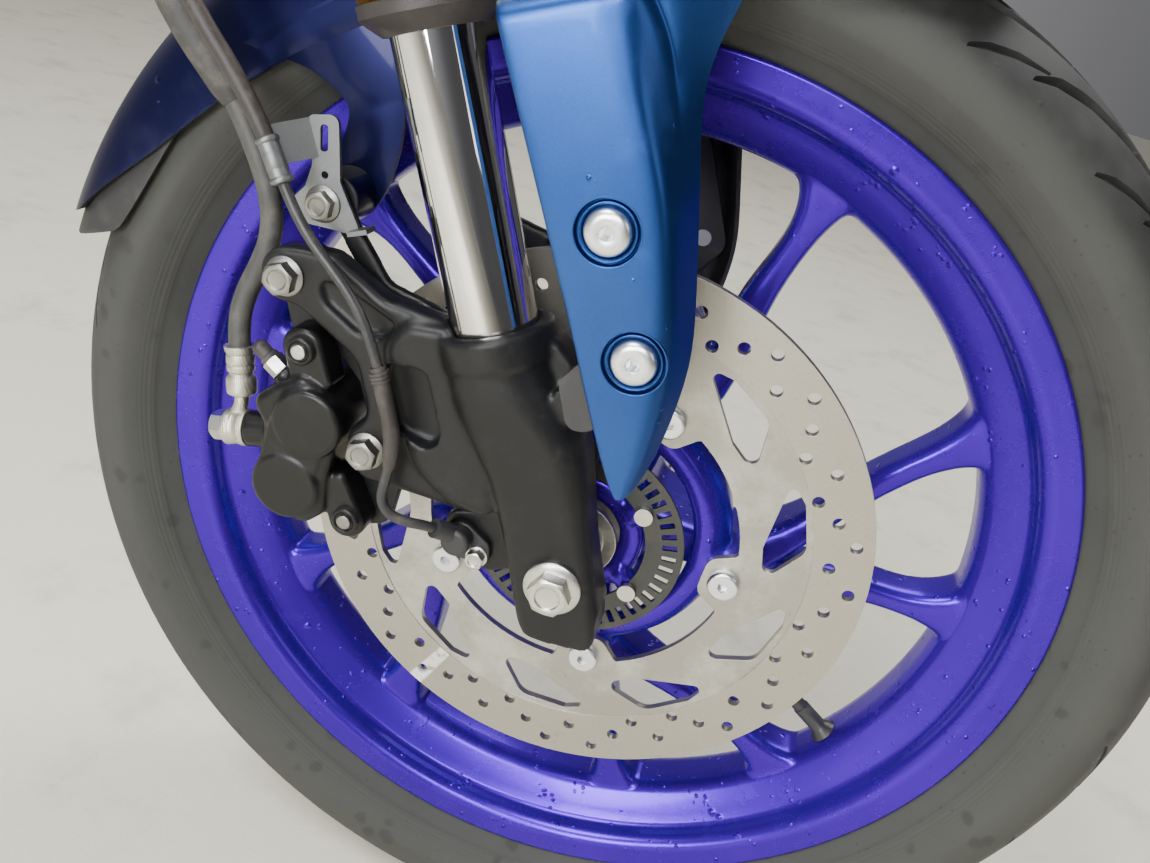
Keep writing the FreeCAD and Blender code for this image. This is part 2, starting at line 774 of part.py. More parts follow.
def makeToneRing():
    body = document.addObject("PartDesign::Body", "ToneRing")
    back = s.tone_face - s.tone_thickness
    plan = sketchOn(body, "XZ_Plane", "TonePlan", back)
    ring(plan, 0, 0, s.tone_radius)
    ring(plan, 0, 0, s.tone_bore)
    padded(body, plan, s.tone_thickness, "TonePad")
    slot = sketchOn(body, "XZ_Plane", "ToneSlot", back)
    half = s.tone_slot_width / 2
    outline(slot, [(s.tone_slot_inner, -half), (s.tone_slot_outer, -half), (s.tone_slot_outer, half),
                   (s.tone_slot_inner, half)])
    document.recompute()
    window = body.newObject("PartDesign::Pocket", "ToneWindow")
    window.Profile = slot
    window.Type = 1
    window.Reversed = True
    document.recompute()
    repeated(body, window, slot, s.tone_slots, "ToneWindows")
    return keep(body, "tone_ring", placeInWheel)


def makeToneBolts():
    heads = []
    for k, turn in enumerate(boltAngles(firstToneBolt)):
        x, z = polar(n.tone_bolt_circle, turn)
        heads.append(cylinder("ToneBolt%d" % k, 4.5, 3, x, -s.tone_face, z, "-Y"))
    return keep(gathered("ToneBolts", heads), "tone_ring_bolts", placeInWheel)


def makeValve():
    # A rubber snap-in stem that points at the axle, with a cap.
    x, z = polar(n.rim_underside_radius - 0.4, n.valve_angle)
    inward = Vector(-math.cos(math.radians(n.valve_angle)), 0, -math.sin(math.radians(n.valve_angle)))
    base = Vector(x, -2, z)
    foot = Part.makeCone(n.valve_radius + 3.2, n.valve_radius, 5, base, inward)
    stem = Part.makeCylinder(n.valve_radius, n.valve_length - 5, base + inward * 5, inward)
    cap = Part.makeCylinder(n.valve_radius - 0.6, 7, base + inward * n.valve_length, inward)
    return keep(shapeOf("Valve", foot.fuse([stem, cap])), "valve", placeInWheel)


# Axle and collars.

def makeAxle():
    seat = -s.foot_outer_face
    shank = cylinder("AxleShank", s.axle_radius, s.leg_spacing + s.foot_outer_face, s.axle_lead, seat, 0, "+Y")
    flange = cylinder("AxleFlange", s.axle_flange_radius, 2, s.axle_lead, seat - 2, 0, "+Y")
    hexagon = document.addObject("Part::Prism", "AxleHex")
    hexagon.Polygon = 6
    hexagon.Circumradius = 9.8
    hexagon.Height = 8
    hexagon.Placement = Placement(Vector(n.axle_lead, -n.foot_outer_face - 2, 0), Rotation(Vector(1, 0, 0), 90))
    bind(hexagon, {"Placement.Base.x": s.axle_lead, "Placement.Base.y": seat - 2})
    return keep(fused("Axle", [shank, flange, hexagon]), "axle", placeInFork)


def makeCollars():
    hubEnd = n.hub_half_length
    collars = []
    for side in (-1, 1):
        sleeve = bar(n.axle_lead, 0, n.axle_radius + 5, side * (hubEnd + 0.5), side * n.foot_inner_face)
        lip = side * (hubEnd + 13)
        sleeve = sleeve.fuse(bar(n.axle_lead, 0, n.collar_radius, lip, lip + side * 2.5))
        hole = bar(n.axle_lead, 0, n.axle_radius + n.slack, side * hubEnd, side * (n.foot_inner_face + 1))
        collars.append(sleeve.cut(hole))
    return keep(shapeOf("AxleCollars", Part.makeCompound(collars)), "axle_collars", placeInFork)


# Fork legs: one casting each side. A round socket for the fork tube flows into a flat axle foot,
# a stay behind it holds the mudguard, and the right one carries the caliper on a ribbed arm.

footEnd = [(60, 140, 0), (60, -14, 0), (25.3, -14.2, 10), (20.5, -36, 6), (-3, -29, 14), (-12, -25, 8),
           (-15, -12, 10), (-60, -12, 0), (-60, 140, 0)]
frontBoss = [(14, 114, 4), (28, 112, 5), (34, 100, 6), (37, 80, 7), (31, 66, 6), (16, 56, 6)]
armOutline = [(-16, 124, 6), (-42, 137, 12), (-60, 158, 10), (-84, 166, 14), (-99, 150, 12), (-82, 137, 10),
              (-62, 112, 14), (-63, 86, 10), (-77, 79, 9), (-76, 57, 9), (-58, 50, 12), (-16, 32, 8)]
armRoot = [(-12, 122, 8), (-34, 128, 10), (-48, 118, 12), (-46, 62, 14), (-34, 44, 12), (-10, 30, 8)]
armWindow = [(-29, 106, 6), (-50, 112, 6), (-50, 78, 8), (-29, 66, 8)]
armPocket = [(-38, 125, 4), (-57, 143, 6), (-70, 150, 7), (-69, 138, 6), (-58, 124, 5), (-46, 121, 4)]
stayOutline = [(-12, 118, 6), (-46, 140, 10), (-54, 166, 8), (-57, 186, 8), (-73, 187, 8), (-76, 172, 6), (-64, 168, 4),
               (-59, 150, 8), (-48, 124, 10), (-14, 96, 8)]
sensorPlace = (-38.0, 19.5)
sensorBolt = (-31.4, 8.9)
upperLug = (-84.0, 152.0)
lowerLug = (-67.0, 70.5)
coverBoss = (31.0, 86.0)
guardBolt = (-66.0, 177.5)


def legBlank(side):
    # Sections from the socket's round to the foot's flat: height, centre, width, depth, corner.
    top = n.leg_lip_bottom + 2
    foot = 2 * n.foot_half_width
    round_ = 2 * n.leg_radius
    stations = [
        (top, 0, round_, round_, n.leg_radius - 0.1),
        (top - 16, 1.5, round_ + 2.5, round_ - 1, n.leg_radius - 2.5),
        (top - 34, 6, round_ + 1.5, round_ - 5, 17),
        (top - 57, 8.4, 44.6, foot + 8, 12),
        (20, 7.4, 39.8, foot + 2, 8),
        (-5, 6.2, 39.6, foot, 7),
        (-40, 5, 38, foot, 7),
    ]
    wires = []
    for height, centre, width, depth, corner in stations:
        wires.append(softSection(Vector(centre, side * n.leg_spacing, height), Vector(1, 0, 0), width, depth, corner))
    body = Part.makeLoft(wires, True, False)
    body = body.common(plate(footEnd, side * (n.leg_spacing - 40), side * (n.leg_spacing + 40)))
    lipHeight = n.leg_lip_top - n.leg_lip_bottom
    lip = Part.makeCylinder(n.leg_lip_radius, lipHeight, Vector(0, side * n.leg_spacing, n.leg_lip_bottom))
    lip = lip.makeChamfer(1.5, [edge for edge in lip.Edges if edge.BoundBox.ZLength < 0.001])
    bosses = [softPlate(frontBoss, side * (n.leg_spacing + 9), side * (n.leg_spacing - 8), 3),
              bar(*coverBoss, 8, side * (n.leg_spacing - 8), side * (n.leg_spacing + 16)),
              plate(stayOutline, side * (n.leg_spacing - 10), side * (n.leg_spacing - 4))]
    return body.fuse([lip] + bosses)


def legBores(side):
    return [
        Part.makeCylinder(n.stanchion_radius + n.slack, 200, Vector(0, side * n.leg_spacing, n.leg_bore_floor)),
        bar(n.axle_lead, 0, n.axle_radius + n.slack, side * (n.foot_inner_face - 5), side * (n.foot_outer_face + 20)),
        bar(n.axle_lead, 0, n.axle_flange_radius + 1.2, side * n.foot_outer_face, side * (n.foot_outer_face + 5)),
        bar(n.axle_lead, 0, n.axle_flange_radius + 1.2, side * n.foot_inner_face, side * (n.foot_inner_face - 5)),
        bar(*guardBolt, 3.4, side * (n.leg_spacing - 12), side * (n.leg_spacing - 2)),
    ]


def makeLegs():
    face = -n.leg_spacing - 12
    arm = softPlate(armOutline, face, -n.leg_spacing, 3.5)
    arm = arm.cut([plate(armWindow, face - 2, -n.leg_spacing + 2), plate(armPocket, face - 2, face + 3)])
    root = softPlate(armRoot, face - 4, -n.leg_spacing + 4, 5).cut(plate(armWindow, face - 6, -n.leg_spacing + 6))
    lugs = [domed(*upperLug, 12, face, -n.leg_spacing + 3, 1.5), domed(*lowerLug, 9.8, face, -n.leg_spacing + 3, 1.5)]
    ear = plate([(-10, 0, 0), (-10, 30, 0), (-44, 31, 9), (-50, 12, 9), (-30, -2, 8)], -88, -80)
    holes = [bar(*upperLug, 5, -110, -80), bar(*lowerLug, 5, -110, -80), bar(*sensorPlace, 6.6, -95, -70),
             bar(*sensorBolt, 3, -95, -70)]
    right = legBlank(-1).fuse([arm, root, ear] + lugs).cut(legBores(-1) + holes)
    keep(shapeOf("ForkLegRight", right), "fork_leg_right", placeInFork)
    clamp = plate([(-14, -44, 5), (24, -44, 5), (20, -20, 0), (-12, -20, 0)], n.foot_inner_face, n.leg_spacing + 9)
    slit = plate([(n.axle_lead - 1.2, -60, 0), (n.axle_lead + 1.2, -60, 0), (n.axle_lead + 1.2, 0, 0),
                  (n.axle_lead - 1.2, 0, 0)], n.foot_inner_face - 7, n.foot_outer_face + 3)
    pinchAt = Vector(-14, n.leg_spacing - 3, -34)
    hole = Part.makeCylinder(4.1, 60, pinchAt - Vector(10, 0, 0), Vector(1, 0, 0))
    left = legBlank(1).fuse([clamp]).cut(legBores(1) + [slit, hole])
    keep(shapeOf("ForkLegLeft", left), "fork_leg_left", placeInFork)
    forward = Vector(1, 0, 0)
    pinch = Part.makeCylinder(4, 38, pinchAt, forward).fuse(Part.makeCylinder(6.5, 6, pinchAt + forward * 38, forward))
    keep(shapeOf("PinchBolt", pinch), "pinch_bolt", placeInFork)


def besideEach(name, label, corners):
    # A turned piece on each fork tube's axis.
    pair = []
    for side, word in ((-1, "Right"), (1, "Left")):
        body = turnedUp(word + name, corners)
        body.Placement = Placement(Vector(0, side * n.leg_spacing, 0), Rotation())
        body.setExpression("Placement.Base.y", formulaOf(s.leg_spacing * side))
        pair.append(body)
    return keep(gathered(name + "Pair", pair), label, placeInFork)


def makeTubes():
    inside = s.stanchion_radius - s.stanchion_wall
    bore = s.stanchion_radius + s.slack
    besideEach("Stanchion", "stanchions", [
        (s.stanchion_radius, s.leg_bore_floor),
        (s.stanchion_radius, s.stanchion_top),
        (inside, s.stanchion_top),
        (inside, s.leg_bore_floor),
    ])
    besideEach("DustSeal", "dust_seals", [
        (bore, s.seal_bottom),
        (s.stanchion_radius + 2.5, s.seal_bottom),
        (s.tube_low_radius - 2.5, s.seal_bottom + 4),
        (s.tube_low_radius + 0.6, s.seal_bottom + 7),
        (s.tube_low_radius + 0.6, s.tube_bottom),
        (bore, s.tube_bottom),
    ])
    besideEach("OuterTube", "outer_tubes", [
        (bore, s.tube_bottom),
        (s.tube_low_radius - 1.5, s.tube_bottom),
        (s.tube_low_radius, s.tube_bottom + 2),
        (s.tube_low_radius, s.tube_low_top),
        (s.tube_radius, s.tube_low_top + 18),
        (s.tube_radius, s.lower_yoke_bottom - 16),
        (s.tube_clamp_radius, s.lower_yoke_bottom - 13),
        (s.tube_clamp_radius, s.lower_yoke_top + 13),
        (s.tube_radius, s.lower_yoke_top + 16),
        (s.tube_radius, s.tube_shoulder),
        (s.bar_seat_radius, s.tube_shoulder),
        (s.bar_seat_radius, s.tube_top),
        (0, s.tube_top),
        (0, s.stanchion_top + 4),
        (bore, s.stanchion_top + 4),
    ])
    besideEach("ForkCap", "fork_caps", [
        (0, s.tube_top),
        (s.bar_seat_radius - 1.5, s.tube_top),
        (s.bar_seat_radius - 1.5, s.tube_top + 3),
        (s.bar_seat_radius - 4, s.tube_top + 5),
        (s.cap_knob_radius, s.tube_top + 5),
        (s.cap_knob_radius, s.tube_top + s.cap_height),
        (s.cap_knob_radius - 1.5, s.tube_top + s.cap_height + 1.5),
        (0, s.tube_top + s.cap_height + 1.5),
    ])


# Yokes: a clamp round each tube, a bridge hollowed below and a boss for the stem behind.

def yokeShape(bottom, height, clampRadius, gapRadius, floor):
    across = n.leg_spacing
    back = -n.yoke_offset
    top = bottom + height
    up = Vector(0, 0, 1)
    clampEdge = clampRadius + n.yoke_wall
    half = [(24, across, 0), (8, across - 40, 30), (-2, 28, 20), (-2, -28, 20), (8, 40 - across, 30), (24, -across, 0),
            (-26, -across, 0), (back - 14, -36, 24), (back - 27, -15, 16), (back - 27, 15, 16), (back - 14, 36, 24),
            (-26, across, 0)]
    parts = [slab(half, bottom, top)]
    cuts = [Part.makeCylinder(gapRadius, height + 4, Vector(back, 0, bottom - 2))]
    for side in (-1, 1):
        centre = Vector(0, side * across, bottom)
        parts.append(Part.makeCylinder(clampEdge, height, centre))
        lug = [(-clampEdge + 14, side * across - 9, 2), (-clampEdge + 14, side * across + 9, 2),
               (-clampEdge - 8, side * across + 9, 4), (-clampEdge - 8, side * across - 9, 4)]
        parts.append(slab(lug, bottom, top))
        cuts.append(Part.makeCylinder(clampRadius + n.slack, height + 4, centre - up * 2))
        cuts.append(Part.makeBox(40, 2.5, height + 4, centre + Vector(-clampRadius - 36, -1.25, -2)))
        pocket = [(-8, side * 38, 5), (4, side * (across - 40), 5), (-14, side * (across - 36), 5),
                  (back - 4, side * 36, 5)]
        cuts.append(slab(pocket, bottom - 1, top - floor))
    whole = parts[0].fuse(parts[1:]).cut(cuts)
    return whole.removeSplitter()


def makeYokes():
    lower = (n.lower_yoke_bottom, n.lower_yoke_height, n.tube_clamp_radius)
    upper = (n.upper_yoke_bottom, n.upper_yoke_height, n.tube_radius)
    keep(shapeOf("LowerYoke", yokeShape(*lower, n.stem_radius + n.slack, 9)), "lower_yoke", placeInFork)
    keep(shapeOf("UpperYoke", yokeShape(*upper, n.stem_radius - 1 + n.slack, 8)), "upper_yoke", placeInFork)
    bolts = []
    for bottom, height, clampRadius in (lower, upper):
        x = -clampRadius - n.yoke_wall - 3.5
        for side in (-1, 1):
            face = side * (n.leg_spacing + 9)
            bolts.append(domed(x, bottom + height / 2, 4.5, face + side * 6, face, 0.8))
    keep(shapeOf("YokeBolts", Part.makeCompound(bolts)), "yoke_bolts", placeInFork)


def makeStem():
    seatBottom = s.seat_height - s.seat_length / 2
    seatTop = s.seat_height + s.seat_length / 2
    stem = turnedUp("SteeringStem", [
        (s.stem_bore, s.lower_yoke_bottom),
        (s.stem_radius, s.lower_yoke_bottom),
        (s.stem_radius, seatBottom),
        (s.stem_seat_radius, seatBottom),
        (s.stem_seat_radius, seatTop),
        (s.stem_radius, seatTop),
        (s.stem_radius, s.upper_yoke_bottom),
        (s.stem_radius - 1, s.upper_yoke_bottom),
        (s.stem_radius - 1, s.stem_top),
        (s.stem_bore, s.stem_top),
    ])
    stem.Placement = Placement(Vector(-n.yoke_offset, 0, 0), Rotation())
    stem.setExpression("Placement.Base.x", formulaOf(-s.yoke_offset))
    keep(gathered("SteeringStemPlaced", [stem]), "steering_stem", placeInFork)
    nut = document.addObject("Part::Prism", "StemNutHex")
    nut.Polygon = 6
    nut.Circumradius = 19
    nut.Height = n.stem_nut_height
    nut.Placement = Placement(Vector(-n.yoke_offset, 0, n.upper_yoke_top), Rotation())
    bind(nut, {"Height": s.stem_nut_height, "Placement.Base.x": -s.yoke_offset, "Placement.Base.z": s.upper_yoke_top})
    hole = cylinder("StemNutBore", s.stem_radius - 1 + s.slack, 30, -s.yoke_offset, 0, s.upper_yoke_top - 5, "+Z")
    keep(cutBy("StemNut", nut, hole), "stem_nut", placeInFork)


# Caliper: two pistons on the outer side, a bridge over the disc's edge and a jaw behind it.

caliperOutline = [(-116, 99.8, 8), (-113, 88, 6), (-123, 66, 12), (-119, 45, 9), (-108, 36, 8), (-95, 41.5, 8),
                  (-89, 59, 14), (-80, 75, 12), (-75.5, 88, 8), (-79, 100, 8), (-88, 108, 8), (-101, 106, 8)]
upperPin = (-85.6, 119.2)
lowerPin = (-86.0, 37.0)
inletStart = Vector(-112, -94, 78.5)
inletAxis = Vector(-1, 0, 0.18).normalize()
inletLength = 17.0
bleedStart = Vector(-91, -98, 93)
bleedSeat = Vector(-101.2, -98, 108.7)
bleedEnd = Vector(-110.5, -98, 123)


def aboutAxle(shape):
    return shape.translated(Vector(n.axle_lead, 0, 0))


def makeCaliper():
    face = -n.caliper_outer_face
    slotLow = -n.disc_face + n.disc_thickness / 2 - n.caliper_jaw_gap / 2
    slotHigh = slotLow + n.caliper_jaw_gap
    innerHigh = slotHigh + n.caliper_inner_jaw
    angle = n.caliper_angle
    bridgeRadius = n.disc_radius + n.caliper_bridge_gap
    topRadius = bridgeRadius + n.caliper_bridge_thickness
    outer = softPlate(caliperOutline, face, slotLow, 4)
    bridge = aboutAxle(sector(bridgeRadius, topRadius, angle - 15, angle + 15, slotLow - 18, innerHigh))
    inner = aboutAxle(sector(topRadius - 51, topRadius, angle - 14, angle + 14, slotHigh, innerHigh))
    cylinders = []
    for turn in (-7.6, 7.6):
        x, z = polar(n.disc_radius - 10, angle + turn)
        cylinders.append(domed(x + n.axle_lead, z, n.piston_radius + 2.5, face - 2.5, slotLow, 2.4))
    bosses = [softPlate([(-96, 100, 3), (-95, 129, 9), (-76, 129, 9), (-76, 100, 3)], -104, -89.1, 2.5),
              softPlate([(-96, 60, 3), (-96, 27, 8), (-77, 27, 8), (-82, 60, 3)], -104, -89.1, 2.5)]
    ports = [Part.makeCylinder(8.5, inletLength, inletStart, inletAxis), rodBetween(bleedStart, bleedSeat, 5.4)]
    whole = outer.fuse([bridge, inner] + ports + cylinders + bosses)
    threaded = Part.makeCylinder(5.1, 10, inletStart + inletAxis * (inletLength - 10), inletAxis)
    whole = whole.cut([threaded] + [bar(x, z, 4.5, -110, -70) for x, z in (upperPin, lowerPin)])
    keep(shapeOf("CaliperBody", whole), "caliper_body", placeInFork)
    padBack = -n.disc_face + n.disc_thickness + n.pad_gap
    outerPad = sector(112, 139.5, angle - 16, angle + 16, slotLow, -n.disc_face - n.pad_gap)
    innerPad = sector(112, 139.5, angle - 16, angle + 16, padBack, slotHigh)
    keep(shapeOf("BrakePads", Part.makeCompound([aboutAxle(outerPad), aboutAxle(innerPad)])), "brake_pads", placeInFork)


def makeCaliperFittings():
    bracketOutline = [(-95, 162, 16), (-97, 110.5, 5), (-76, 110.5, 4), (-70.5, 98, 6), (-70.5, 84, 5), (-84, 54, 6),
                      (-92, 39, 4), (-95, 27, 7), (-74, 26, 9), (-54, 62, 12), (-56, 84, 10), (-66, 112, 14),
                      (-70, 162, 12)]
    holes = [bar(x, z, 5, -95, -75) for x, z in (upperLug, lowerLug)]
    holes += [bar(x, z, 4.5, -95, -75) for x, z in (upperPin, lowerPin)]
    bracket = softPlate(bracketOutline, -89, -83, 0.8).cut(holes)
    keep(shapeOf("CaliperBracket", bracket), "caliper_bracket", placeInFork)
    pins = []
    for x, z in (upperPin, lowerPin):
        pins.append(bar(x, z, 4.45, -104, -82).fuse(domed(x, z, 6.5, -108, -104, 1)))
    keep(shapeOf("SlidePins", Part.makeCompound(pins)), "slide_pins", placeInFork)
    bolts = [flangeBolt(x, z, 13, -112, -104, -83, 4.9) for x, z in (upperLug, lowerLug)]
    keep(shapeOf("CaliperBolts", Part.makeCompound(bolts)), "caliper_bolts", placeInFork)
    # The hose ends in an eye on a hollow bolt, with a bent neck up to the crimped ferrule.
    seat = inletStart + inletAxis * inletLength
    middle = seat + inletAxis * 5.5
    line = Vector(*hoseRoute[0]) - ferruleFoot
    length = line.Length
    line.normalize()
    eye = Part.makeCylinder(9, 11, seat, inletAxis)
    crimps = [Part.makeCylinder(6.2, 10.5, ferruleFoot, line), Part.makeCylinder(5.4, length - 1, ferruleFoot, line),
              Part.makeCylinder(7, length - 12.8, ferruleFoot + line * 12.5, line)]
    ferrule = eye.fuse(crimps + [rodBetween(middle, ferruleFoot + line, 3.2)])
    ferrule = ferrule.cut(Part.makeCylinder(5.1, 30, seat - inletAxis * 10, inletAxis))
    keep(shapeOf("HoseFerrule", ferrule), "hose_ferrule", placeInFork)
    shank = Part.makeCylinder(5, 21, seat - inletAxis * 9, inletAxis)
    washer = Part.makeCylinder(7.8, 1.5, seat + inletAxis * 11, inletAxis)
    head = hexBetween(seat + inletAxis * 12.5, inletAxis, 7.2, 6)
    keep(shapeOf("BanjoBolt", shank.fuse([washer, head])), "banjo_bolt", placeInFork)
    slope = (bleedEnd - bleedSeat).normalize()
    nipple = hexBetween(bleedSeat, slope, 5.2, 8)
    nipple = nipple.fuse([rodBetween(bleedSeat + slope * 7, bleedEnd, 3.2)])
    keep(shapeOf("BleedNipple", nipple), "bleed_nipple", placeInFork)


# Mudguard: a thin shell round the tyre, cut to its edge line, with ears that bolt to the fork's stays.

guardEdge = [(57, 169, 0), (-8.4, 166.1, 6), (-18.6, 161.9, 10), (-29, 157.5, 12), (-37.4, 152.6, 20),
             (-43.8, 145.7, 20), (-47.7, 140.5, 20), (-51, 134, 10), (-53.5, 127, 30), (-56, 112, 30),
             (-54, 100, 30), (-47, 88, 12), (-38, 84, 20), (-24, 79, 20), (-8, 73.5, 10), (0, 70, 4),
             (57, 69, 0), (117, 115, 0)]
guardEar = [(-30, 262, 0), (-30, 214, 10), (-38, 193, 8), (-50, 174, 8), (-62, 166, 10), (-75, 176, 10),
            (-72, 190, 8), (-60, 206, 8), (-57, 214, 5), (-69, 230, 8), (-100, 246, 0)]


def makeGuard():
    outer = n.guard_radius
    half = n.guard_half_width
    wall = n.guard_wall
    across = [(outer - 67, half), (outer - 38, half), (outer - 20, half - 3), (outer - 8, half - 11),
              (outer - 1, half - 24), (outer + 2.5, 20), (outer + 3.5, 0)]
    within = [(outer - 67, half - wall), (outer - 38 - wall / 2, half - wall), (outer - 20 - wall, half - 3 - wall),
              (outer - 8 - wall, half - 11 - wall), (outer - 1 - wall, half - 25), (outer + 2.5 - wall, 20),
              (outer + 3.5 - wall, 0)]
    corners = across + [(r, -y) for r, y in across[-2::-1]] + [(r, -y) for r, y in within[:-1]] + within[::-1]
    points = [Vector(r, y, 0) for r, y in corners]
    face = Part.Face(Part.makePolygon(points + [points[0]]))
    start, end = 68.0, 170.0
    shell = face.revolve(Vector(0, 0, 0), Vector(0, -1, 0), end - start)
    shell.rotate(Vector(0, 0, 0), Vector(0, -1, 0), start)
    edge = polarCorners([(outer + beyond, angle, corner) for beyond, angle, corner in guardEdge])
    guard = shell.common(plate(edge, -90, 90))
    ears = []
    for side in (-1, 1):
        stay = side * (n.leg_spacing - 10)
        ear = plate(guardEar, side * half, side * (half - wall))
        ear = ear.fuse(bar(*guardBolt, 12, stay, side * (half - wall)))
        ear = ear.cut(bar(*guardBolt, 3.15, stay + side, side * (n.leg_spacing - 22)))
        ear.rotate(Vector(0, 0, 0), Vector(0, 1, 0), -n.rake)
        ears.append(ear.translated(Vector(-n.axle_lead * math.cos(math.radians(n.rake)), 0,
                                          -n.axle_lead * math.sin(math.radians(n.rake)))))
    keep(shapeOf("Mudguard", guard.fuse(ears)), "mudguard", placeInWheel)


# Fork covers: a thin folded panel beside each leg, whose top leans in to the mudguard's side.

coverBolts = [(60.5, 156.7), (63.0, 105.7)]
# Height, rear edge, crease, front edge, rear fold, front fold, groove's middle, half width and depth.
coverSections = [
    (48, 47, 49.5, 52, 3, 2.6, 51, 0.3, 0),
    (55, 44.8, 53.5, 59, 6, 7, 58, 0.4, 0),
    (70, 42.9, 62, 69, 7.5, 12, 68, 0.4, 0),
    (98, 41, 73, 83, 7.5, 17, 82, 0.4, 0),
    (123, 40, 79, 87, 7.5, 20, 86, 0.4, 0),
    (150, 38, 82.5, 91, 7.5, 22, 90, 0.4, 0),
    (172, 36.5, 83, 94, 7.5, 22, 93, 0.4, 0),
    (200, 34.5, 79, 98, 7.5, 22, 96.5, 0.8, 0.5),
    (218, 33.3, 77, 108, 7.5, 22, 92.5, 2.2, 4),
    (234, 32.3, 75, 121, 7.5, 22, 87.5, 3.6, 6),
    (241, 32, 74.5, 124, 7.5, 22, 85, 4.5, 6),
]


def coverSection(side, height, points):
    ring_ = [Vector(x, side * y, height) for x, y in points]
    return Part.makePolygon(ring_ + [ring_[0]])


def coverPanel(side):
    face = n.cover_face
    wires = []
    for height, rear, crease, front, rearFold, frontFold, groove, halfWidth, depth in coverSections:
        wall = n.cover_wall if height > 50 else n.cover_wall / 2
        length = math.hypot(frontFold, front - crease)
        inX = -wall * frontFold / length
        inY = -wall * (front - crease) / length
        outside = [(rear, face - rearFold), (rear + 0.6, face), (crease, face)]
        for x, sunk in ((groove - halfWidth, 0), (groove, depth), (groove + halfWidth, 0), (front, 0)):
            outside.append((x, face - frontFold * (x - crease) / (front - crease) - sunk))
        inside = [(x + inX, y + inY) for x, y in outside[:2:-1]]
        inside += [(crease + inX * 0.6, face - wall), (rear + wall, face - wall), (rear + wall * 0.9, face - rearFold)]
        wires.append(coverSection(side, height, outside + inside))
    # The last section lies beside the mudguard, where the panel's slope makes its level cut thicker.
    low = n.guard_half_width + 0.6
    high = low + 6.4
    top = [(32, low + 1.2), (32.6, high), (74.5, high), (80.5, high), (85, high), (89.5, high), (120, high - 4),
           (118.5, low - 0.2), (89, low), (85, low), (81, low), (74, low), (36, low), (34.5, low + 0.4)]
    wires.append(coverSection(side, 268, top))
    return Part.makeLoft(wires, True, True)


def makeCovers():
    covers, brackets, bolts = [], [], []
    floor = n.cover_face - n.cover_well_depth
    plank = [(29, 77, 6), (38, 75, 8), (76, 98, 10), (74, 164, 10), (52, 168, 8), (50, 112, 14), (29, 98, 6)]
    for side in (-1, 1):
        back = side * (floor - n.cover_wall)
        seat = side * floor
        panel = coverPanel(side)
        panel = panel.fuse([bar(x, z, n.cover_well_radius + 1, seat + side, back) for x, z in coverBolts])
        wells = [bar(x, z, n.cover_well_radius, seat, seat + side * 12) for x, z in coverBolts]
        holes = [bar(x, z, 5, side * 90, side * 130) for x, z in coverBolts]
        covers.append(panel.cut(wells + holes))
        bracket = plate(plank, side * (n.leg_spacing + 16), side * (n.leg_spacing + 20))
        bracket = bracket.fuse([bar(x, z, 8, side * (n.leg_spacing + 16), back) for x, z in coverBolts])
        brackets.append(bracket.cut(holes))
        for x, z in coverBolts:
            head = domed(x, z, 10, seat + side * 5, seat, 1.2)
            socket = plate([(x + a, z + b, 0) for a, b in [polar(4.6, 60 * k) for k in range(6)]],
                           seat + side * 1.5, seat + side * 6)
            bolts.append(head.fuse([bar(x, z, 4.9, seat, side * (n.leg_spacing + 17))]).cut([socket]))
    keep(shapeOf("ForkCovers", Part.makeCompound(covers)), "fork_covers", placeInFork)
    keep(shapeOf("CoverBrackets", Part.makeCompound(brackets)), "cover_brackets", placeInFork)
    keep(shapeOf("CoverBolts", Part.makeCompound(bolts)), "cover_bolts", placeInFork)


# Brake hose, speed sensor and its cable: points in the fork's frame, chosen by hand.

hoseRoute = [(-124.5, -90, 120.5), (-122, -89, 132), (-116, -87, 143), (-108, -86, 152), (-100, -86, 161),
             (-94.5, -86, 171), (-92, -86, 182), (-91.6, -86, 194), (-93, -86, 207), (-95, -86, 220), (-100, -86, 236),
             (-107, -86, 252), (-113, -86, 272), (-114, -86, 302), (-108, -86, 336), (-93, -87, 366),
             (-75, -88, 392), (-64, -90, 413), (-62, -90, 425), (-62, -90, 436)]
cableRoute = [(-44, -103, 30), (-46.6, -106.9, 33.7), (-53, -110, 37), (-59.5, -112, 42), (-61.5, -113, 50), (-57, -113.2, 59),
              (-51.5, -113, 69), (-48, -113.2, 81), (-47.5, -113, 95), (-47.2, -113.2, 109), (-48, -112.5, 124),
              (-51, -112, 139), (-57, -111.5, 152.5), (-64, -110.5, 165), (-69, -109, 178.5), (-71.8, -108, 192),
              (-74, -107, 206), (-77, -106.5, 220), (-82, -106, 236), (-89, -105.5, 254), (-95, -105, 275),
              (-97, -105.2, 302), (-93, -105, 333), (-82, -105.2, 362), (-70, -105, 388), (-63, -105.5, 412),
              (-62, -106, 440)]
ferruleFoot = Vector(-129.5, -92, 97)


def makeHose():
    points = [Vector(*place) for place in hoseRoute]
    keep(shapeOf("BrakeHose", tube(points, n.hose_radius)), "brake_hose", placeInFork)
    back = -n.tube_clamp_radius - n.yoke_wall - 8.2
    low = n.lower_yoke_bottom
    union = softPlate([(-78, low, 3), (back, low, 0), (back, low + 28, 0), (-78, low + 28, 6)], -100, -80, 2)
    keep(shapeOf("HoseUnion", union), "hose_union", placeInFork)
    plug = softPlate([(-72, low + 4, 2), (-53, low + 4, 2), (-53, low + 30, 3), (-72, low + 30, 3)], -112, -100.2, 1.5)
    keep(shapeOf("CablePlug", plug), "cable_plug", placeInFork)


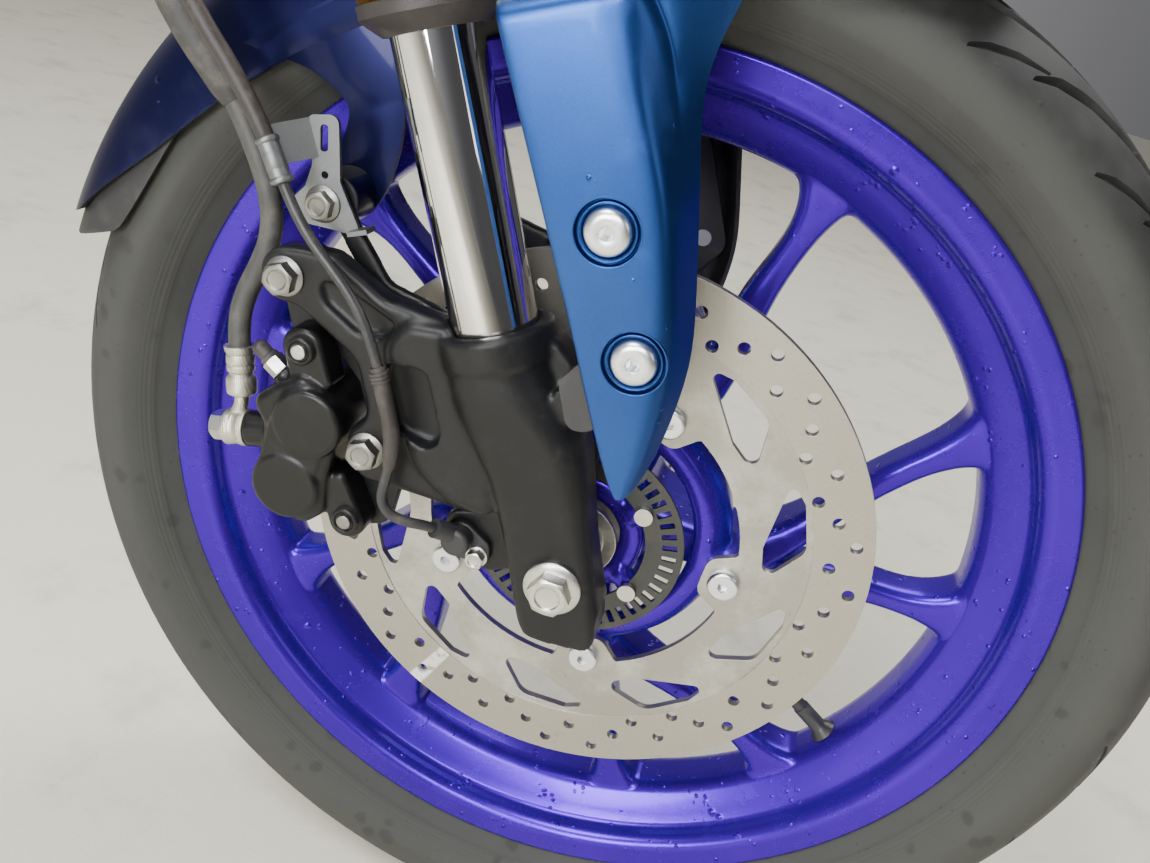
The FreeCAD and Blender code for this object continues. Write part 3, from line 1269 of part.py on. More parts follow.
def makeHoseBracket():
    # A pressed plate under the mudguard's bolt, with a slot, a foot and a wing that clips the cable.
    inner = -n.leg_spacing + 4
    outer = inner - 2
    outline_ = [(-49.5, 211.5, 4), (-62.5, 213.5, 2), (-64.5, 205, 2), (-66.5, 194, 4), (-72, 186, 4), (-79, 182, 4),
                (-80, 172, 5), (-66, 167, 4), (-52, 161.5, 3), (-54.5, 176, 6), (-56, 185, 4)]
    sheet_ = plate(outline_, outer, inner)
    foot = Part.makeBox(9, 9, 2, Vector(-55, outer - 7, 163.5))
    wing = slab([(-61, outer + 1.9, 0), (-75.5, outer - 14.5, 1), (-77, outer - 13, 1), (-62.5, outer + 3.5, 0)], 196.5, 212.5)
    wing = wing.common(Part.makeBox(60, 60, 60, Vector(-110, inner - 60, 180)))
    below, above = Vector(*cableRoute[15]), Vector(*cableRoute[16])
    middle = (below + above) / 2
    along = (above - below).normalize()
    clip = Part.makeCylinder(4.4, 7, middle - along * 3.5, along)
    bore = Part.makeCylinder(n.cable_radius + 0.3, 20, middle - along * 10, along)
    slot = plate([(-58.5, 209, 1.8), (-55, 208.5, 1.8), (-58, 198, 1.8), (-61.5, 198.4, 1.8)], outer - 1, inner + 1)
    holes = [bore, slot, bar(*guardBolt, 3.2, -110, -80), bar(-62, 189, 1.6, -110, -80)]
    whole = sheet_.fuse([foot, wing, clip]).cut(holes)
    keep(shapeOf("HoseBracket", whole), "hose_bracket", placeInFork)
    inside = n.leg_spacing - 22
    right = flangeBolt(*guardBolt, 11, outer - 6.5, outer, -inside, 3.1)
    left = flangeBolt(*guardBolt, 11, -inner + 6.5, -inner, inside, 3.1)
    keep(shapeOf("BracketBolt", Part.makeCompound([right, left])), "bracket_bolt", placeInFork)


def makeSensor():
    body = bar(*sensorPlace, 6.5, -93, -61.2)
    head = domed(*sensorPlace, 7, -100, -91, 2.5)
    flange = softPlate([(-27, 2, 5), (-24, 14, 5), (-34, 28, 7), (-46, 24, 7), (-44, 10, 6)], -92, -88.1, 1)
    root = Vector(sensorPlace[0], -94, sensorPlace[1] + 2)
    toCable = Vector(*cableRoute[0]) - root
    neck = Part.makeCylinder(4.6, toCable.Length, root, toCable)
    whole = body.fuse([head, flange, neck]).cut(bar(*sensorBolt, 3, -95, -85))
    keep(shapeOf("SpeedSensor", whole), "speed_sensor", placeInFork)
    keep(shapeOf("SensorBolt", flangeBolt(*sensorBolt, 8, -97.5, -92, -81, 2.9)), "sensor_bolt", placeInFork)
    points = [Vector(*place) for place in cableRoute]
    keep(shapeOf("SensorCable", tube(points, n.cable_radius)), "sensor_cable", placeInFork)


makeTyre()
makeRim()
makeBearings()
makeDisc()
makeDiscBolts()
makeToneRing()
makeToneBolts()
makeValve()
makeAxle()
makeCollars()
makeLegs()
makeTubes()
makeYokes()
makeStem()
makeCaliper()
makeCaliperFittings()
makeGuard()
makeCovers()
makeHose()
makeHoseBracket()
makeSensor()
document.recompute()

for thing in document.Objects:
    if "Invalid" in thing.State or "Error" in thing.State:
        raise RuntimeError("%s failed: %s" % (thing.Label, thing.State))
os.makedirs("parts", exist_ok=True)
for name in partNames:
    thing = document.getObject(name)
    if thing.Shape.isNull() or not thing.Shape.isValid():
        raise RuntimeError("%s has no valid shape" % thing.Label)
    print("%-18s solids %d volume %.1f" % (thing.Label, len(thing.Shape.Solids), thing.Shape.Volume / 1000))
for name in partNames:
    thing = document.getObject(name)
    thing.Shape.exportStep("parts/%s.step" % thing.Label)
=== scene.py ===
import json
import math
import bmesh
import bpy
from mathutils import Matrix, Vector


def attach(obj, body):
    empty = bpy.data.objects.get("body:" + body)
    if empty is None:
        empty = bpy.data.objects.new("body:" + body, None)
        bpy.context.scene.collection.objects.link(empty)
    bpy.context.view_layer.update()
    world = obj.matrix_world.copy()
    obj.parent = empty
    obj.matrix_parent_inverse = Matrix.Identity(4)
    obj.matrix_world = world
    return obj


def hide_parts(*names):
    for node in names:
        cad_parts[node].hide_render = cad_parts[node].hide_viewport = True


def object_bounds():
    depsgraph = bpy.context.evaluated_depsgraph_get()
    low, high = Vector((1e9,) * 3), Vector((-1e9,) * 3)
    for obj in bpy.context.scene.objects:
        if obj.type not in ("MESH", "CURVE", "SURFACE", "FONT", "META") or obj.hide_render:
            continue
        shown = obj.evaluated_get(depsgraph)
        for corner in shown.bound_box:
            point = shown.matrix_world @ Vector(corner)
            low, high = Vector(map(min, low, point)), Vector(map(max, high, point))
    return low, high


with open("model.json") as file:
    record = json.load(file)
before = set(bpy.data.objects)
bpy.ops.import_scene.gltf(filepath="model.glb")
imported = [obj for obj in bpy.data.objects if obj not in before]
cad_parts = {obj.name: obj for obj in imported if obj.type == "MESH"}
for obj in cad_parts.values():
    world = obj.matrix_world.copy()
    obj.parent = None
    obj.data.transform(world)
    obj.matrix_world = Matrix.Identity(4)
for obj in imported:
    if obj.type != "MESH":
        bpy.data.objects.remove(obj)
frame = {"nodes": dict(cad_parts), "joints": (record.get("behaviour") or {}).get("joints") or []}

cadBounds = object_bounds()
bpy.ops.object.select_all(action="DESELECT")
axle = Vector(frame["joints"][0]["pos_m"])
mm = 0.001
print("frame loaded, axle at", tuple(axle))

# Pieces are drawn in millimetres in one of two frames and then set in their place in metres:
# the wheel's frame is centred on the axle, and the fork's leans back, its tubes along Z.
rake = math.radians(25)
axleLead = 8
wheelFrame = Matrix.Translation(axle) @ Matrix.Scale(mm, 4)
forkFrame = wheelFrame @ Matrix.Rotation(-rake, 4, "Y") @ Matrix.Translation((-axleLead, 0, 0))


# Camera and light

view = {
    "fromAxle": (31.286, -484.517, 260.209),   # millimetres, from the axle's middle
    "yaw": -0.11,
    "pitch": 0.4497,
    "roll": 0.2925,
    "focalShare": 1015.53 / 1150,              # focal length over the frame's width
    "sensor": 36.0,
}


def makeCamera():
    yaw, pitch, roll = view["yaw"], view["pitch"], view["roll"]
    forward = Vector((math.sin(yaw) * math.cos(pitch), math.cos(yaw) * math.cos(pitch), -math.sin(pitch)))
    level = Vector((math.cos(yaw), -math.sin(yaw), 0))
    above = level.cross(forward)
    right = level * math.cos(roll) + above * math.sin(roll)
    up = above * math.cos(roll) - level * math.sin(roll)
    bpy.ops.object.camera_add()
    camera = bpy.context.object
    camera.name = "photoCamera"
    turn = Matrix((right, up, -forward)).transposed().to_4x4()
    camera.matrix_world = Matrix.Translation(axle + Vector(view["fromAxle"]) * mm) @ turn
    camera.data.sensor_width = view["sensor"]
    camera.data.lens = view["sensor"] * view["focalShare"]
    camera.data.clip_start = 0.01
    bpy.context.scene.camera = camera


lights = {
    # name: place from the axle in metres, size, watts
    "keySoft": ((-0.9, -1.2, 2.0), 0.9, 50),
    "frontSoft": ((-0.46, -1.6, 0.36), 0.45, 19),
    "cameraSoft": ((0.06, -1.5, 0.72), 0.45, 12),
    "sideSoft": ((1.6, -0.9, 1.1), 0.8, 4),
    "backSoft": ((0.5, 1.3, 2.3), 1.5, 48),
}
skyStrength = 0.38, 0.08      # behind the camera's left shoulder, and ahead on the right
skySpan = -0.35, 0.55         # where the one fades into the other, along X
skyColour = 0.96, 0.96, 1.0


def makeLights():
    for name, (place, size, watts) in lights.items():
        bpy.ops.object.light_add(type="AREA", location=axle + Vector(place))
        lamp = bpy.context.object
        lamp.name = name
        lamp.data.size = size
        lamp.data.energy = watts
        lamp.rotation_mode = "QUATERNION"
        lamp.rotation_quaternion = (-Vector(place)).to_track_quat("-Z", "Y")
    world = bpy.data.worlds.new("studio")
    bpy.context.scene.world = world
    world.use_nodes = True
    nodes, links = world.node_tree.nodes, world.node_tree.links
    background = nodes["Background"]
    background.inputs["Color"].default_value = (*skyColour, 1)
    parts = nodes.new("ShaderNodeSeparateXYZ")
    links.new(nodes.new("ShaderNodeTexCoord").outputs["Generated"], parts.inputs[0])
    fade = nodes.new("ShaderNodeMapRange")
    fade.interpolation_type = "SMOOTHSTEP"
    for place, value in enumerate((*skySpan, *skyStrength)):
        fade.inputs[place + 1].default_value = value
    links.new(parts.outputs[0], fade.inputs[0])
    links.new(fade.outputs[0], background.inputs["Strength"])


makeCamera()
makeLights()
print("camera and lights placed")


# Bench: the moves that every piece is made with

def deselect():
    # Out of edit mode, with nothing picked.
    if bpy.context.object and bpy.context.object.mode == "EDIT":
        bpy.ops.object.mode_set(mode="OBJECT")
    bpy.ops.object.select_all(action="DESELECT")


def choose(piece):
    # The only piece picked, and the active one.
    deselect()
    piece.select_set(True)
    bpy.context.view_layer.objects.active = piece


def setIn(piece, place):
    # Its place goes into its mesh.
    choose(piece)
    piece.matrix_world = place @ piece.matrix_world
    bpy.ops.object.transform_apply(location=True, rotation=True, scale=True)


def startPoint(name, point):
    # A small plane merged to one corner, from which an outline is extruded.
    deselect()
    bpy.ops.mesh.primitive_plane_add(size=1)
    piece = bpy.context.object
    piece.name = name
    bpy.ops.object.mode_set(mode="EDIT")
    bpy.ops.mesh.select_mode(type="VERT")
    bpy.ops.mesh.select_all(action="SELECT")
    bpy.ops.mesh.merge(type="CENTER")
    bpy.ops.transform.translate(value=point)
    return piece


def pick(piece, test, kind="VERT"):
    bpy.ops.mesh.select_mode(type=kind)
    bpy.ops.mesh.select_all(action="DESELECT")
    mesh = bmesh.from_edit_mesh(piece.data)
    for item in {"VERT": mesh.verts, "EDGE": mesh.edges, "FACE": mesh.faces}[kind]:
        if test(item):
            item.select_set(True)
    mesh.select_flush_mode()
    bmesh.update_edit_mesh(piece.data)


def near(place, reach=0.02):
    return lambda corner: (corner.co - Vector(place)).length < reach


def spotOf(point):
    return tuple(round(value, 2) for value in point)


def extrudeAlong(points, first):
    before = Vector(first)
    for point in points:
        step = Vector(point) - before
        bpy.ops.mesh.extrude_vertices_move(TRANSFORM_OT_translate={"value": step})
        before = Vector(point)


def drawChain(name, points, closed=True):
    piece = startPoint(name, points[0])
    extrudeAlong(points[1:], points[0])
    if closed:
        pick(piece, lambda corner: len(corner.link_edges) == 1)
        bpy.ops.mesh.edge_face_add()
    return piece


def drawRounded(name, corners, place, segments=5, closed=True):
    # corners: (x, z) or (x, z, rounding); place sets a corner in space. Each is rounded by a vertex bevel.
    corners = [(*corner, 0)[:3] for corner in corners]
    piece = drawChain(name, [place(x, z) for x, z, soft in corners], closed)
    for soft in sorted({corner[2] for corner in corners if corner[2]}):
        spots = [Vector(place(x, z)) for x, z, rounding in corners if rounding == soft]
        pick(piece, lambda corner: any((corner.co - spot).length < 0.02 for spot in spots))
        bpy.ops.mesh.bevel(offset=soft, offset_type="OFFSET", segments=segments, affect="VERTICES",
                           clamp_overlap=True)
    return piece


def drawPlate(name, corners, low, high, segments=5):
    # A flat outline in XZ, extruded along Y.
    piece = drawRounded(name, corners, lambda x, z: (x, low, z), segments)
    bpy.ops.mesh.select_all(action="SELECT")
    bpy.ops.mesh.edge_face_add()
    bpy.ops.mesh.extrude_region_move(TRANSFORM_OT_translate={"value": (0, high - low, 0)})
    tidyMesh()
    return piece


def tidyMesh():
    bpy.ops.mesh.select_all(action="SELECT")
    bpy.ops.mesh.remove_doubles(threshold=0.001)
    bpy.ops.mesh.normals_make_consistent(inside=False)


def drawTurned(name, profile, upright=False, steps=128, sweep=360, closed=True, segments=5):
    # profile: (radius, place along the axis) and a rounding where wanted. The axis is Y, or Z where upright.
    piece = drawRounded(name, profile, lambda r, along: (r, 0, along) if upright else (r, along, 0), segments,
                        closed)
    bpy.ops.mesh.select_all(action="SELECT")
    if sweep < 360:
        bpy.ops.mesh.edge_face_add()
    bpy.ops.mesh.spin(steps=steps, angle=math.radians(sweep), center=(0, 0, 0),
                      axis=(0, 0, 1) if upright else (0, 1, 0))
    tidyMesh()
    return piece


def drawSections(name, sections, closed=True, capped=False):
    # Each section is drawn as its own chain in one mesh, and neighbouring chains are bridged.
    sections = [[spotOf(point) for point in section] for section in sections]
    piece = startPoint(name, sections[0][0])
    for place, section in enumerate(sections):
        if place:
            bpy.ops.mesh.primitive_plane_add(size=1, location=(0, 0, 0))
            bpy.ops.mesh.merge(type="CENTER")
            bpy.ops.transform.translate(value=section[0])
        extrudeAlong(section[1:], section[0])
        if closed:
            pick(piece, lambda corner: near(section[0])(corner) or near(section[-1])(corner))
            bpy.ops.mesh.edge_face_add()
    spots = [set(section) for section in sections]
    for low, high in zip(spots, spots[1:]):
        pick(piece, lambda edge: any(all(spotOf(corner.co) in spot for corner in edge.verts)
                                     for spot in (low, high)), "EDGE")
        bpy.ops.mesh.bridge_edge_loops()
    if capped:
        for spot in (spots[0], spots[-1]):
            pick(piece, lambda corner: spotOf(corner.co) in spot)
            bpy.ops.mesh.edge_face_add()
    tidyMesh()
    return piece


def applyStack(piece):
    choose(piece)
    for modifier in list(piece.modifiers):
        bpy.ops.object.modifier_apply(modifier=modifier.name)


def modify(piece, kind, **settings):
    deselect()
    modifier = piece.modifiers.new(kind.lower(), kind)
    for key, value in settings.items():
        setattr(modifier, key, value)
    applyStack(piece)


def cutWith(piece, cutter, operation="DIFFERENCE", solver="EXACT"):
    deselect()
    modify(piece, "BOOLEAN", object=cutter, operation=operation, solver=solver)
    deselect()
    cutter.select_set(True)
    bpy.ops.object.delete()


def joinPieces(name, parts):
    deselect()
    for part in parts:
        part.select_set(True)
    bpy.context.view_layer.objects.active = parts[0]
    if len(parts) > 1:
        bpy.ops.object.join()
    parts[0].name = name
    return parts[0]


def copyOf(piece, name):
    choose(piece)
    bpy.ops.object.duplicate(linked=False)
    twin = bpy.context.object
    twin.name = name
    return twin


def turnTo(piece, turn):
    # Turned about the axle, as an angle from forward towards up.
    setIn(piece, Matrix.Rotation(-math.radians(turn), 4, "Y"))


def turnedCopies(piece, name, count, first=0.0):
    # Copies about the axle, each with its own mesh.
    copies = []
    for place in range(count):
        twin = copyOf(piece, name)
        turnTo(twin, first + 360 / count * place)
        copies.append(twin)
    deselect()
    piece.select_set(True)
    bpy.ops.object.delete()
    return copies


def mirrored(piece, name):
    # The same piece on the other side of the wheel.
    twin = copyOf(piece, name)
    twin.matrix_world = Matrix.Diagonal((1, -1, 1, 1)) @ twin.matrix_world
    bpy.ops.object.transform_apply(location=True, rotation=True, scale=True)
    bpy.ops.object.mode_set(mode="EDIT")
    tidyMesh()
    bpy.ops.object.mode_set(mode="OBJECT")
    return twin


def castCopy(node, name, grain, rounds, webs=()):
    # A merged copy of a CAD casting, remeshed and eased so that its corners are soft.
    piece = copyOf(frame["nodes"][node], name)
    for key in list(piece.keys()):
        del piece[key]
    piece.parent = None
    piece.data.materials.clear()
    bpy.ops.object.mode_set(mode="EDIT")
    bpy.ops.mesh.select_all(action="SELECT")
    bpy.ops.mesh.remove_doubles(threshold=0.000002)
    deselect()
    piece = joinPieces(name, [piece, *webs])
    modify(piece, "REMESH", mode="VOXEL", voxel_size=grain * mm, adaptivity=0.0)
    modify(piece, "SMOOTH", factor=0.5, iterations=rounds)
    return piece


def settle(piece, place, finish, body="fork", stands=(), angle=35, edge=0.0):
    # Set in its frame, shaded, given its finish and hung on its body.
    if edge:
        modify(piece, "BEVEL", width=edge, segments=2, limit_method="ANGLE", angle_limit=math.radians(angle))
    setIn(piece, Matrix() if place is None else place)
    bpy.ops.object.shade_smooth_by_angle(angle=math.radians(angle))
    piece.data.materials.clear()
    piece.data.materials.append(finish)
    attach(piece, body)
    if stands:
        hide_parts(*stands)
    print("settled", piece.name, len(piece.data.polygons), "faces")
    return piece


def lineWith(piece, finish, test):
    # A second finish on the faces that pass the test.
    choose(piece)
    piece.data.materials.append(finish)
    piece.active_material_index = len(piece.data.materials) - 1
    bpy.ops.object.mode_set(mode="EDIT")
    pick(piece, test, "FACE")
    bpy.ops.object.material_slot_assign()
    bpy.ops.mesh.select_all(action="DESELECT")
    deselect()


def facing(point, way):
    return Matrix.Translation(point) @ Vector(way).to_track_quat("Z", "Y").to_matrix().to_4x4()


def polar(radius, angle):
    return radius * math.cos(math.radians(angle)), radius * math.sin(math.radians(angle))


def arcPoints(first, last, radius, count):
    # Points on the arc that bulges right of the way from first to last, without its ends.
    a, b = Vector(first), Vector(last)
    chord = b - a
    half = math.asin(chord.length / 2 / abs(radius))
    across = Vector((chord.y, -chord.x)).normalized() * math.copysign(1, radius)
    centre = (a + b) / 2 - across * abs(radius) * math.cos(half)
    found = []
    for place in range(1, count):
        turn = half * (2 * place / count - 1)
        along = chord.normalized()
        found.append(tuple(centre + across * abs(radius) * math.cos(turn) + along * abs(radius) * math.sin(turn)))
    return found


# Shader maths: a wrapped socket, so that an expression on values adds its Math nodes

class Wire:
    def __init__(self, finish, socket):
        self.finish = finish
        self.socket = socket

    def maths(self, operation, *others):
        return self.finish.add("Math", {"operation": operation}, *others)

    def __add__(self, other):
        return self.maths("ADD", self, other)

    def __radd__(self, other):
        return self.maths("ADD", other, self)

    def __sub__(self, other):
        return self.maths("SUBTRACT", self, other)

    def __rsub__(self, other):
        return self.maths("SUBTRACT", other, self)

    def __mul__(self, other):
        return self.maths("MULTIPLY", self, other)

    def __rmul__(self, other):
        return self.maths("MULTIPLY", other, self)

    def __truediv__(self, other):
        return self.maths("DIVIDE", self, other)

    def above(self, other):
        return self.maths("GREATER_THAN", self, other)

    def below(self, other):
        return self.maths("LESS_THAN", self, other)

    def larger(self, other):
        return self.maths("MAXIMUM", self, other)

    def size(self):
        return self.maths("ABSOLUTE", self)


class Finish:
    def __init__(self, name):
        self.material = bpy.data.materials.new(name)
        self.material.use_nodes = True
        self.tree = self.material.node_tree
        self.shader = self.tree.nodes["Principled BSDF"]
        self.coordinates = self.tree.nodes.new("ShaderNodeTexCoord")

    def add(self, kind, settings, *inputs, output=0, **named):
        node = self.tree.nodes.new("ShaderNode" + kind)
        for key, value in settings.items():
            if key == "stops":
                self.setStops(node, value)
            else:
                setattr(node, key, value)
        for place, value in enumerate(inputs):
            if value is not None:
                self.feed(node.inputs[place], value)
        for key, value in named.items():
            self.feed(node.inputs[key], value)
        return Wire(self, node.outputs[output])

    def setStops(self, node, stops):
        ramp = node.color_ramp
        while len(ramp.elements) < len(stops):
            ramp.elements.new(0.5)
        for element, (place, shade) in zip(ramp.elements, stops):
            element.position = place
            element.color = (*shade, 1) if len(shade) == 3 else shade

    def feed(self, socket, value):
        if isinstance(value, Wire):
            self.tree.links.new(value.socket, socket)
        elif hasattr(socket.default_value, "__len__") and len(socket.default_value) == 4 and len(value) == 3:
            socket.default_value = (*value, 1)
        else:
            socket.default_value = value

    def place(self):
        return Wire(self, self.coordinates.outputs["Object"])

    def aboutAxle(self):
        # Object coordinates centred on the axle: X forward, Y along it, Z up, in metres.
        return self.add("Mapping", {}, self.place(), tuple(-axle))

    def inFork(self):
        # Object coordinates in the fork's frame, in metres.
        turned = self.add("Mapping", {}, self.aboutAxle(), None, (0, rake, 0))
        return self.add("Mapping", {}, turned, (axleLead * mm, 0, 0))

    def split(self, vector):
        node = self.tree.nodes.new("ShaderNodeSeparateXYZ")
        self.feed(node.inputs[0], vector)
        return [Wire(self, output) for output in node.outputs]

    def round(self):
        # Radius in metres and turn in radians about the axle.
        x, y, z = self.split(self.aboutAxle())
        radius = self.add("Math", {"operation": "SQRT"}, x * x + z * z)
        turn = self.add("Math", {"operation": "ARCTAN2"}, z, x)
        return radius, turn, y

    def join(self, x, y, z):
        return self.add("CombineXYZ", {}, x, y, z)

    def noise(self, scale, detail=3.0, where=None, roughness=0.5):
        return self.add("TexNoise", {}, Vector=where or self.place(), Scale=scale, Detail=detail,
                        Roughness=roughness)

    def warped(self, reach, scale):
        # Places pushed about by a noise, so that a pattern laid on them is ragged.
        push = self.add("TexNoise", {}, Vector=self.place(), Scale=scale, output=1)
        shift = self.add("VectorMath", {"operation": "SCALE"}, push, Scale=reach)
        return self.add("VectorMath", {"operation": "ADD"}, self.place(), shift)

    def cells(self, scale, where=None):
        return self.add("TexVoronoi", {}, Vector=where or self.place(), Scale=scale)

    def ramp(self, value, low, high, start=0.0, end=1.0):
        return self.add("MapRange", {"interpolation_type": "SMOOTHSTEP"}, value, low, high, start, end)

    def mix(self, share, first, second):
        return self.add("Mix", {"data_type": "RGBA"}, share, None, None, None, None, None, first, second, output=2)

    def bump(self, height, strength, depth=0.001, under=None):
        named = {"Height": height, "Strength": strength, "Distance": depth}
        if under is not None:
            named["Normal"] = under
        return self.add("Bump", {}, **named)

    def wornEdges(self):
        # Bright where a convex edge would be rubbed.
        geometry = self.tree.nodes.new("ShaderNodeNewGeometry")
        return self.ramp(Wire(self, geometry.outputs["Pointiness"]), 0.52, 0.6)

    def drops(self, scale, share):
        # Rain beads: a low dome in some of the cells.
        cell = self.cells(scale)
        pick = self.ramp(self.noise(scale * 0.35, 1), 1 - share, 1 - share + 0.05)
        return self.ramp(cell, 0.34, 0.0) * pick

    def set(self, **named):
        for key, value in named.items():
            self.feed(self.shader.inputs[key.replace("_", " ")], value)
        return self.material


def tinted(colour, share):
    return tuple(min(1.0, c * share) for c in colour)


def paintFinish(name, colour, dark, rough, coat, beads=0.0, flakes=0.25, metal=0.55):
    # Metallic paint: fine flakes, a slow cloud of tone, road film and rain beads.
    finish = Finish(name)
    cloud = finish.noise(14, 4)
    flake = finish.ramp(finish.cells(4200), 0.1, 0.6)
    film = finish.ramp(finish.noise(38, 6, roughness=0.7), 0.52, 0.75)
    shade = finish.mix(cloud, dark, colour)
    shade = finish.mix(flake * flakes, shade, tinted(colour, 1.7))
    shade = finish.mix(film * 0.02, shade, (0.35, 0.34, 0.38))
    peel = finish.noise(420, 2)
    normal = finish.bump(peel, 0.05, 0.0004)
    roughness = rough + film * 0.12
    if beads:
        bead = finish.drops(230, beads).larger(finish.drops(120, beads * 0.8))
        normal = finish.bump(bead, 0.7, 0.0009, normal)
        roughness = roughness * (1 - bead * 0.8)
    return finish.set(Base_Color=shade, Roughness=roughness, Metallic=metal, Coat_Weight=coat, Coat_Roughness=0.06,
                      Specular_IOR_Level=0.3, Normal=normal)


def castFinish(name, colour, rough=0.46, grime=0.3):
    # Satin black paint on a casting: fine texture, dust in the open, a little wear on its edges.
    finish = Finish(name)
    cloud = finish.noise(22, 5)
    dust = finish.ramp(finish.noise(60, 7, roughness=0.75), 0.5, 0.8)
    grain = finish.noise(1500, 3)
    skin = finish.noise(260, 4)
    shade = finish.mix(cloud, tinted(colour, 0.75), tinted(colour, 1.25))
    shade = finish.mix(dust * grime, shade, (0.135, 0.14, 0.15))
    shade = finish.mix(finish.wornEdges() * 0.3, shade, (0.19, 0.19, 0.19))
    normal = finish.bump(grain, 0.22, 0.0002, finish.bump(skin, 0.12, 0.0006))
    return finish.set(Base_Color=shade, Roughness=rough + dust * 0.25 + (grain - 0.5) * 0.1,
                      Specular_IOR_Level=0.32, Normal=normal)


def metalFinish(name, colour, rough, grime=0.25, grain=900, streak=(1, 1, 1), pitted=0.0, stain=(0.2, 0.17, 0.12)):
    finish = Finish(name)
    where = finish.add("Mapping", {}, finish.place(), None, None, streak)
    line = finish.noise(grain, 4, where)
    dirt = finish.ramp(finish.noise(75, 7, roughness=0.7), 0.5, 0.8)
    shade = finish.mix(line, tinted(colour, 0.84), tinted(colour, 1.1))
    shade = finish.mix(dirt * grime, shade, stain)
    pit = finish.ramp(finish.noise(520, 5), 0.62, 0.75) * pitted
    normal = finish.bump(line - pit, 0.14, 0.0002)
    return finish.set(Base_Color=shade, Metallic=1 - dirt * grime * 0.6,
                      Roughness=rough + line * 0.09 + dirt * grime * 0.45, Normal=normal)


def rubberFinish(name, colour, rough=0.55, dust=0.3, bands=0.0):
    finish = Finish(name)
    cloud = finish.noise(35, 5)
    film = finish.ramp(finish.noise(90, 6, roughness=0.7), 0.45, 0.8)
    grain = finish.noise(1300, 3)
    shade = finish.mix(cloud, tinted(colour, 0.8), tinted(colour, 1.2))
    shade = finish.mix(film * dust, shade, (0.21, 0.19, 0.16))
    height = grain
    if bands:
        along = finish.split(finish.inFork())[2]
        height = grain * 0.4 + finish.ramp(finish.noise(bands, 1, finish.join(0, 0, along)), 0.4, 0.6)
    return finish.set(Base_Color=shade, Roughness=rough + film * 0.25, Normal=finish.bump(height, 0.25, 0.0004))


def tyreFinish():
    # Dusty rubber: grey-green on the walls, darker on the tread, with drop marks, scuffs and moulded rings.
    finish = Finish("tyreRubber")
    radius, turn, y = finish.round()
    tread = finish.ramp(radius, 0.262, 0.276)
    cloud = finish.noise(7, 3)
    film = finish.ramp(finish.noise(26, 5, roughness=0.55), 0.3, 0.75)
    wall = finish.mix(cloud, (0.028, 0.029, 0.026), (0.05, 0.052, 0.047))
    wall = finish.mix(film * 0.35, wall, (0.072, 0.074, 0.066))
    crown = finish.mix(film, (0.014, 0.014, 0.0145), (0.04, 0.04, 0.037))
    shade = finish.mix(tread, wall, crown)
    blot = finish.ramp(finish.cells(58, finish.warped(0.006, 90)), 0.3, 0.17)
    blot = blot * finish.ramp(finish.noise(21, 2), 0.5, 0.58)
    speck = finish.ramp(finish.cells(210), 0.2, 0.12) * finish.ramp(finish.noise(48, 2), 0.52, 0.6)
    shade = finish.mix(blot.larger(speck) * 0.62, shade, (0.022, 0.022, 0.019))
    rings = finish.add("Math", {"operation": "SINE"}, radius * 3600)
    ring = finish.ramp(radius, 0.2385, 0.2395) * finish.ramp(radius, 0.2465, 0.2455) * rings
    grain = finish.noise(1000, 3)
    bead = finish.drops(160, 0.38) * tread
    normal = finish.bump(grain + ring * 0.5, 0.22, 0.0003)
    normal = finish.bump(bead, 0.6, 0.0009, normal)
    rough = 0.7 + film * 0.16 - tread * 0.12
    return finish.set(Base_Color=shade, Roughness=rough * (1 - bead * 0.7), Normal=normal)


def discFinish():
    # Ground steel: rings of fine scratches on the track, greyer on the carrier, a paint mark below.
    finish = Finish("discSteel")
    radius, turn, y = finish.round()
    scratch = finish.noise(60, 4, finish.join(radius * 95, turn * 1.1, 0), 0.65)
    fine = finish.noise(200, 2, finish.join(radius * 95, turn * 2.4, 0))
    track = finish.ramp(radius, 0.1128, 0.1136)
    smear = finish.ramp(finish.noise(22, 6, roughness=0.7), 0.42, 0.7)
    plain = finish.mix(smear, (0.38, 0.365, 0.33), (0.58, 0.57, 0.53))
    swept = finish.mix(scratch, (0.26, 0.245, 0.205), (0.58, 0.555, 0.49))
    shade = finish.mix(track, plain, swept)
    stain = finish.ramp(finish.noise(130, 6, roughness=0.7), 0.6, 0.75)
    shade = finish.mix(stain * 0.3, shade, (0.19, 0.15, 0.1))
    markTurn = (turn + 2.03).size()
    mark = finish.ramp(markTurn, 0.034, 0.024) * track * finish.ramp(finish.noise(240, 3), 0.3, 0.5)
    shade = finish.mix(mark * 0.8, shade, (0.85, 0.84, 0.8))
    height = (scratch * 0.6 + fine * 0.4) * track + finish.noise(700, 3) * (1 - track)
    return finish.set(Base_Color=shade, Metallic=0.92 - mark * 0.9, Roughness=0.36 + scratch * 0.1 + stain * 0.15,
                      Normal=finish.bump(height, 0.2, 0.0002))


def chromeFinish():
    finish = Finish("stanchionChrome")
    n, y, u = finish.split(finish.inFork())
    wipe = finish.noise(50, 4, finish.join(n * 10, y * 10, u * 0.4))
    film = finish.ramp(finish.noise(30, 6, roughness=0.7), 0.5, 0.8)
    low = finish.ramp(u, 0.15, 0.12)
    shade = finish.mix(wipe, (0.8, 0.79, 0.77), (0.92, 0.92, 0.93))
    shade = finish.mix((film * 0.25).larger(low * 0.4), shade, (0.42, 0.38, 0.32))
    return finish.set(Base_Color=shade, Metallic=1.0, Roughness=0.05 + film * 0.1 + low * 0.08,
                      Normal=finish.bump(wipe, 0.03, 0.0002))


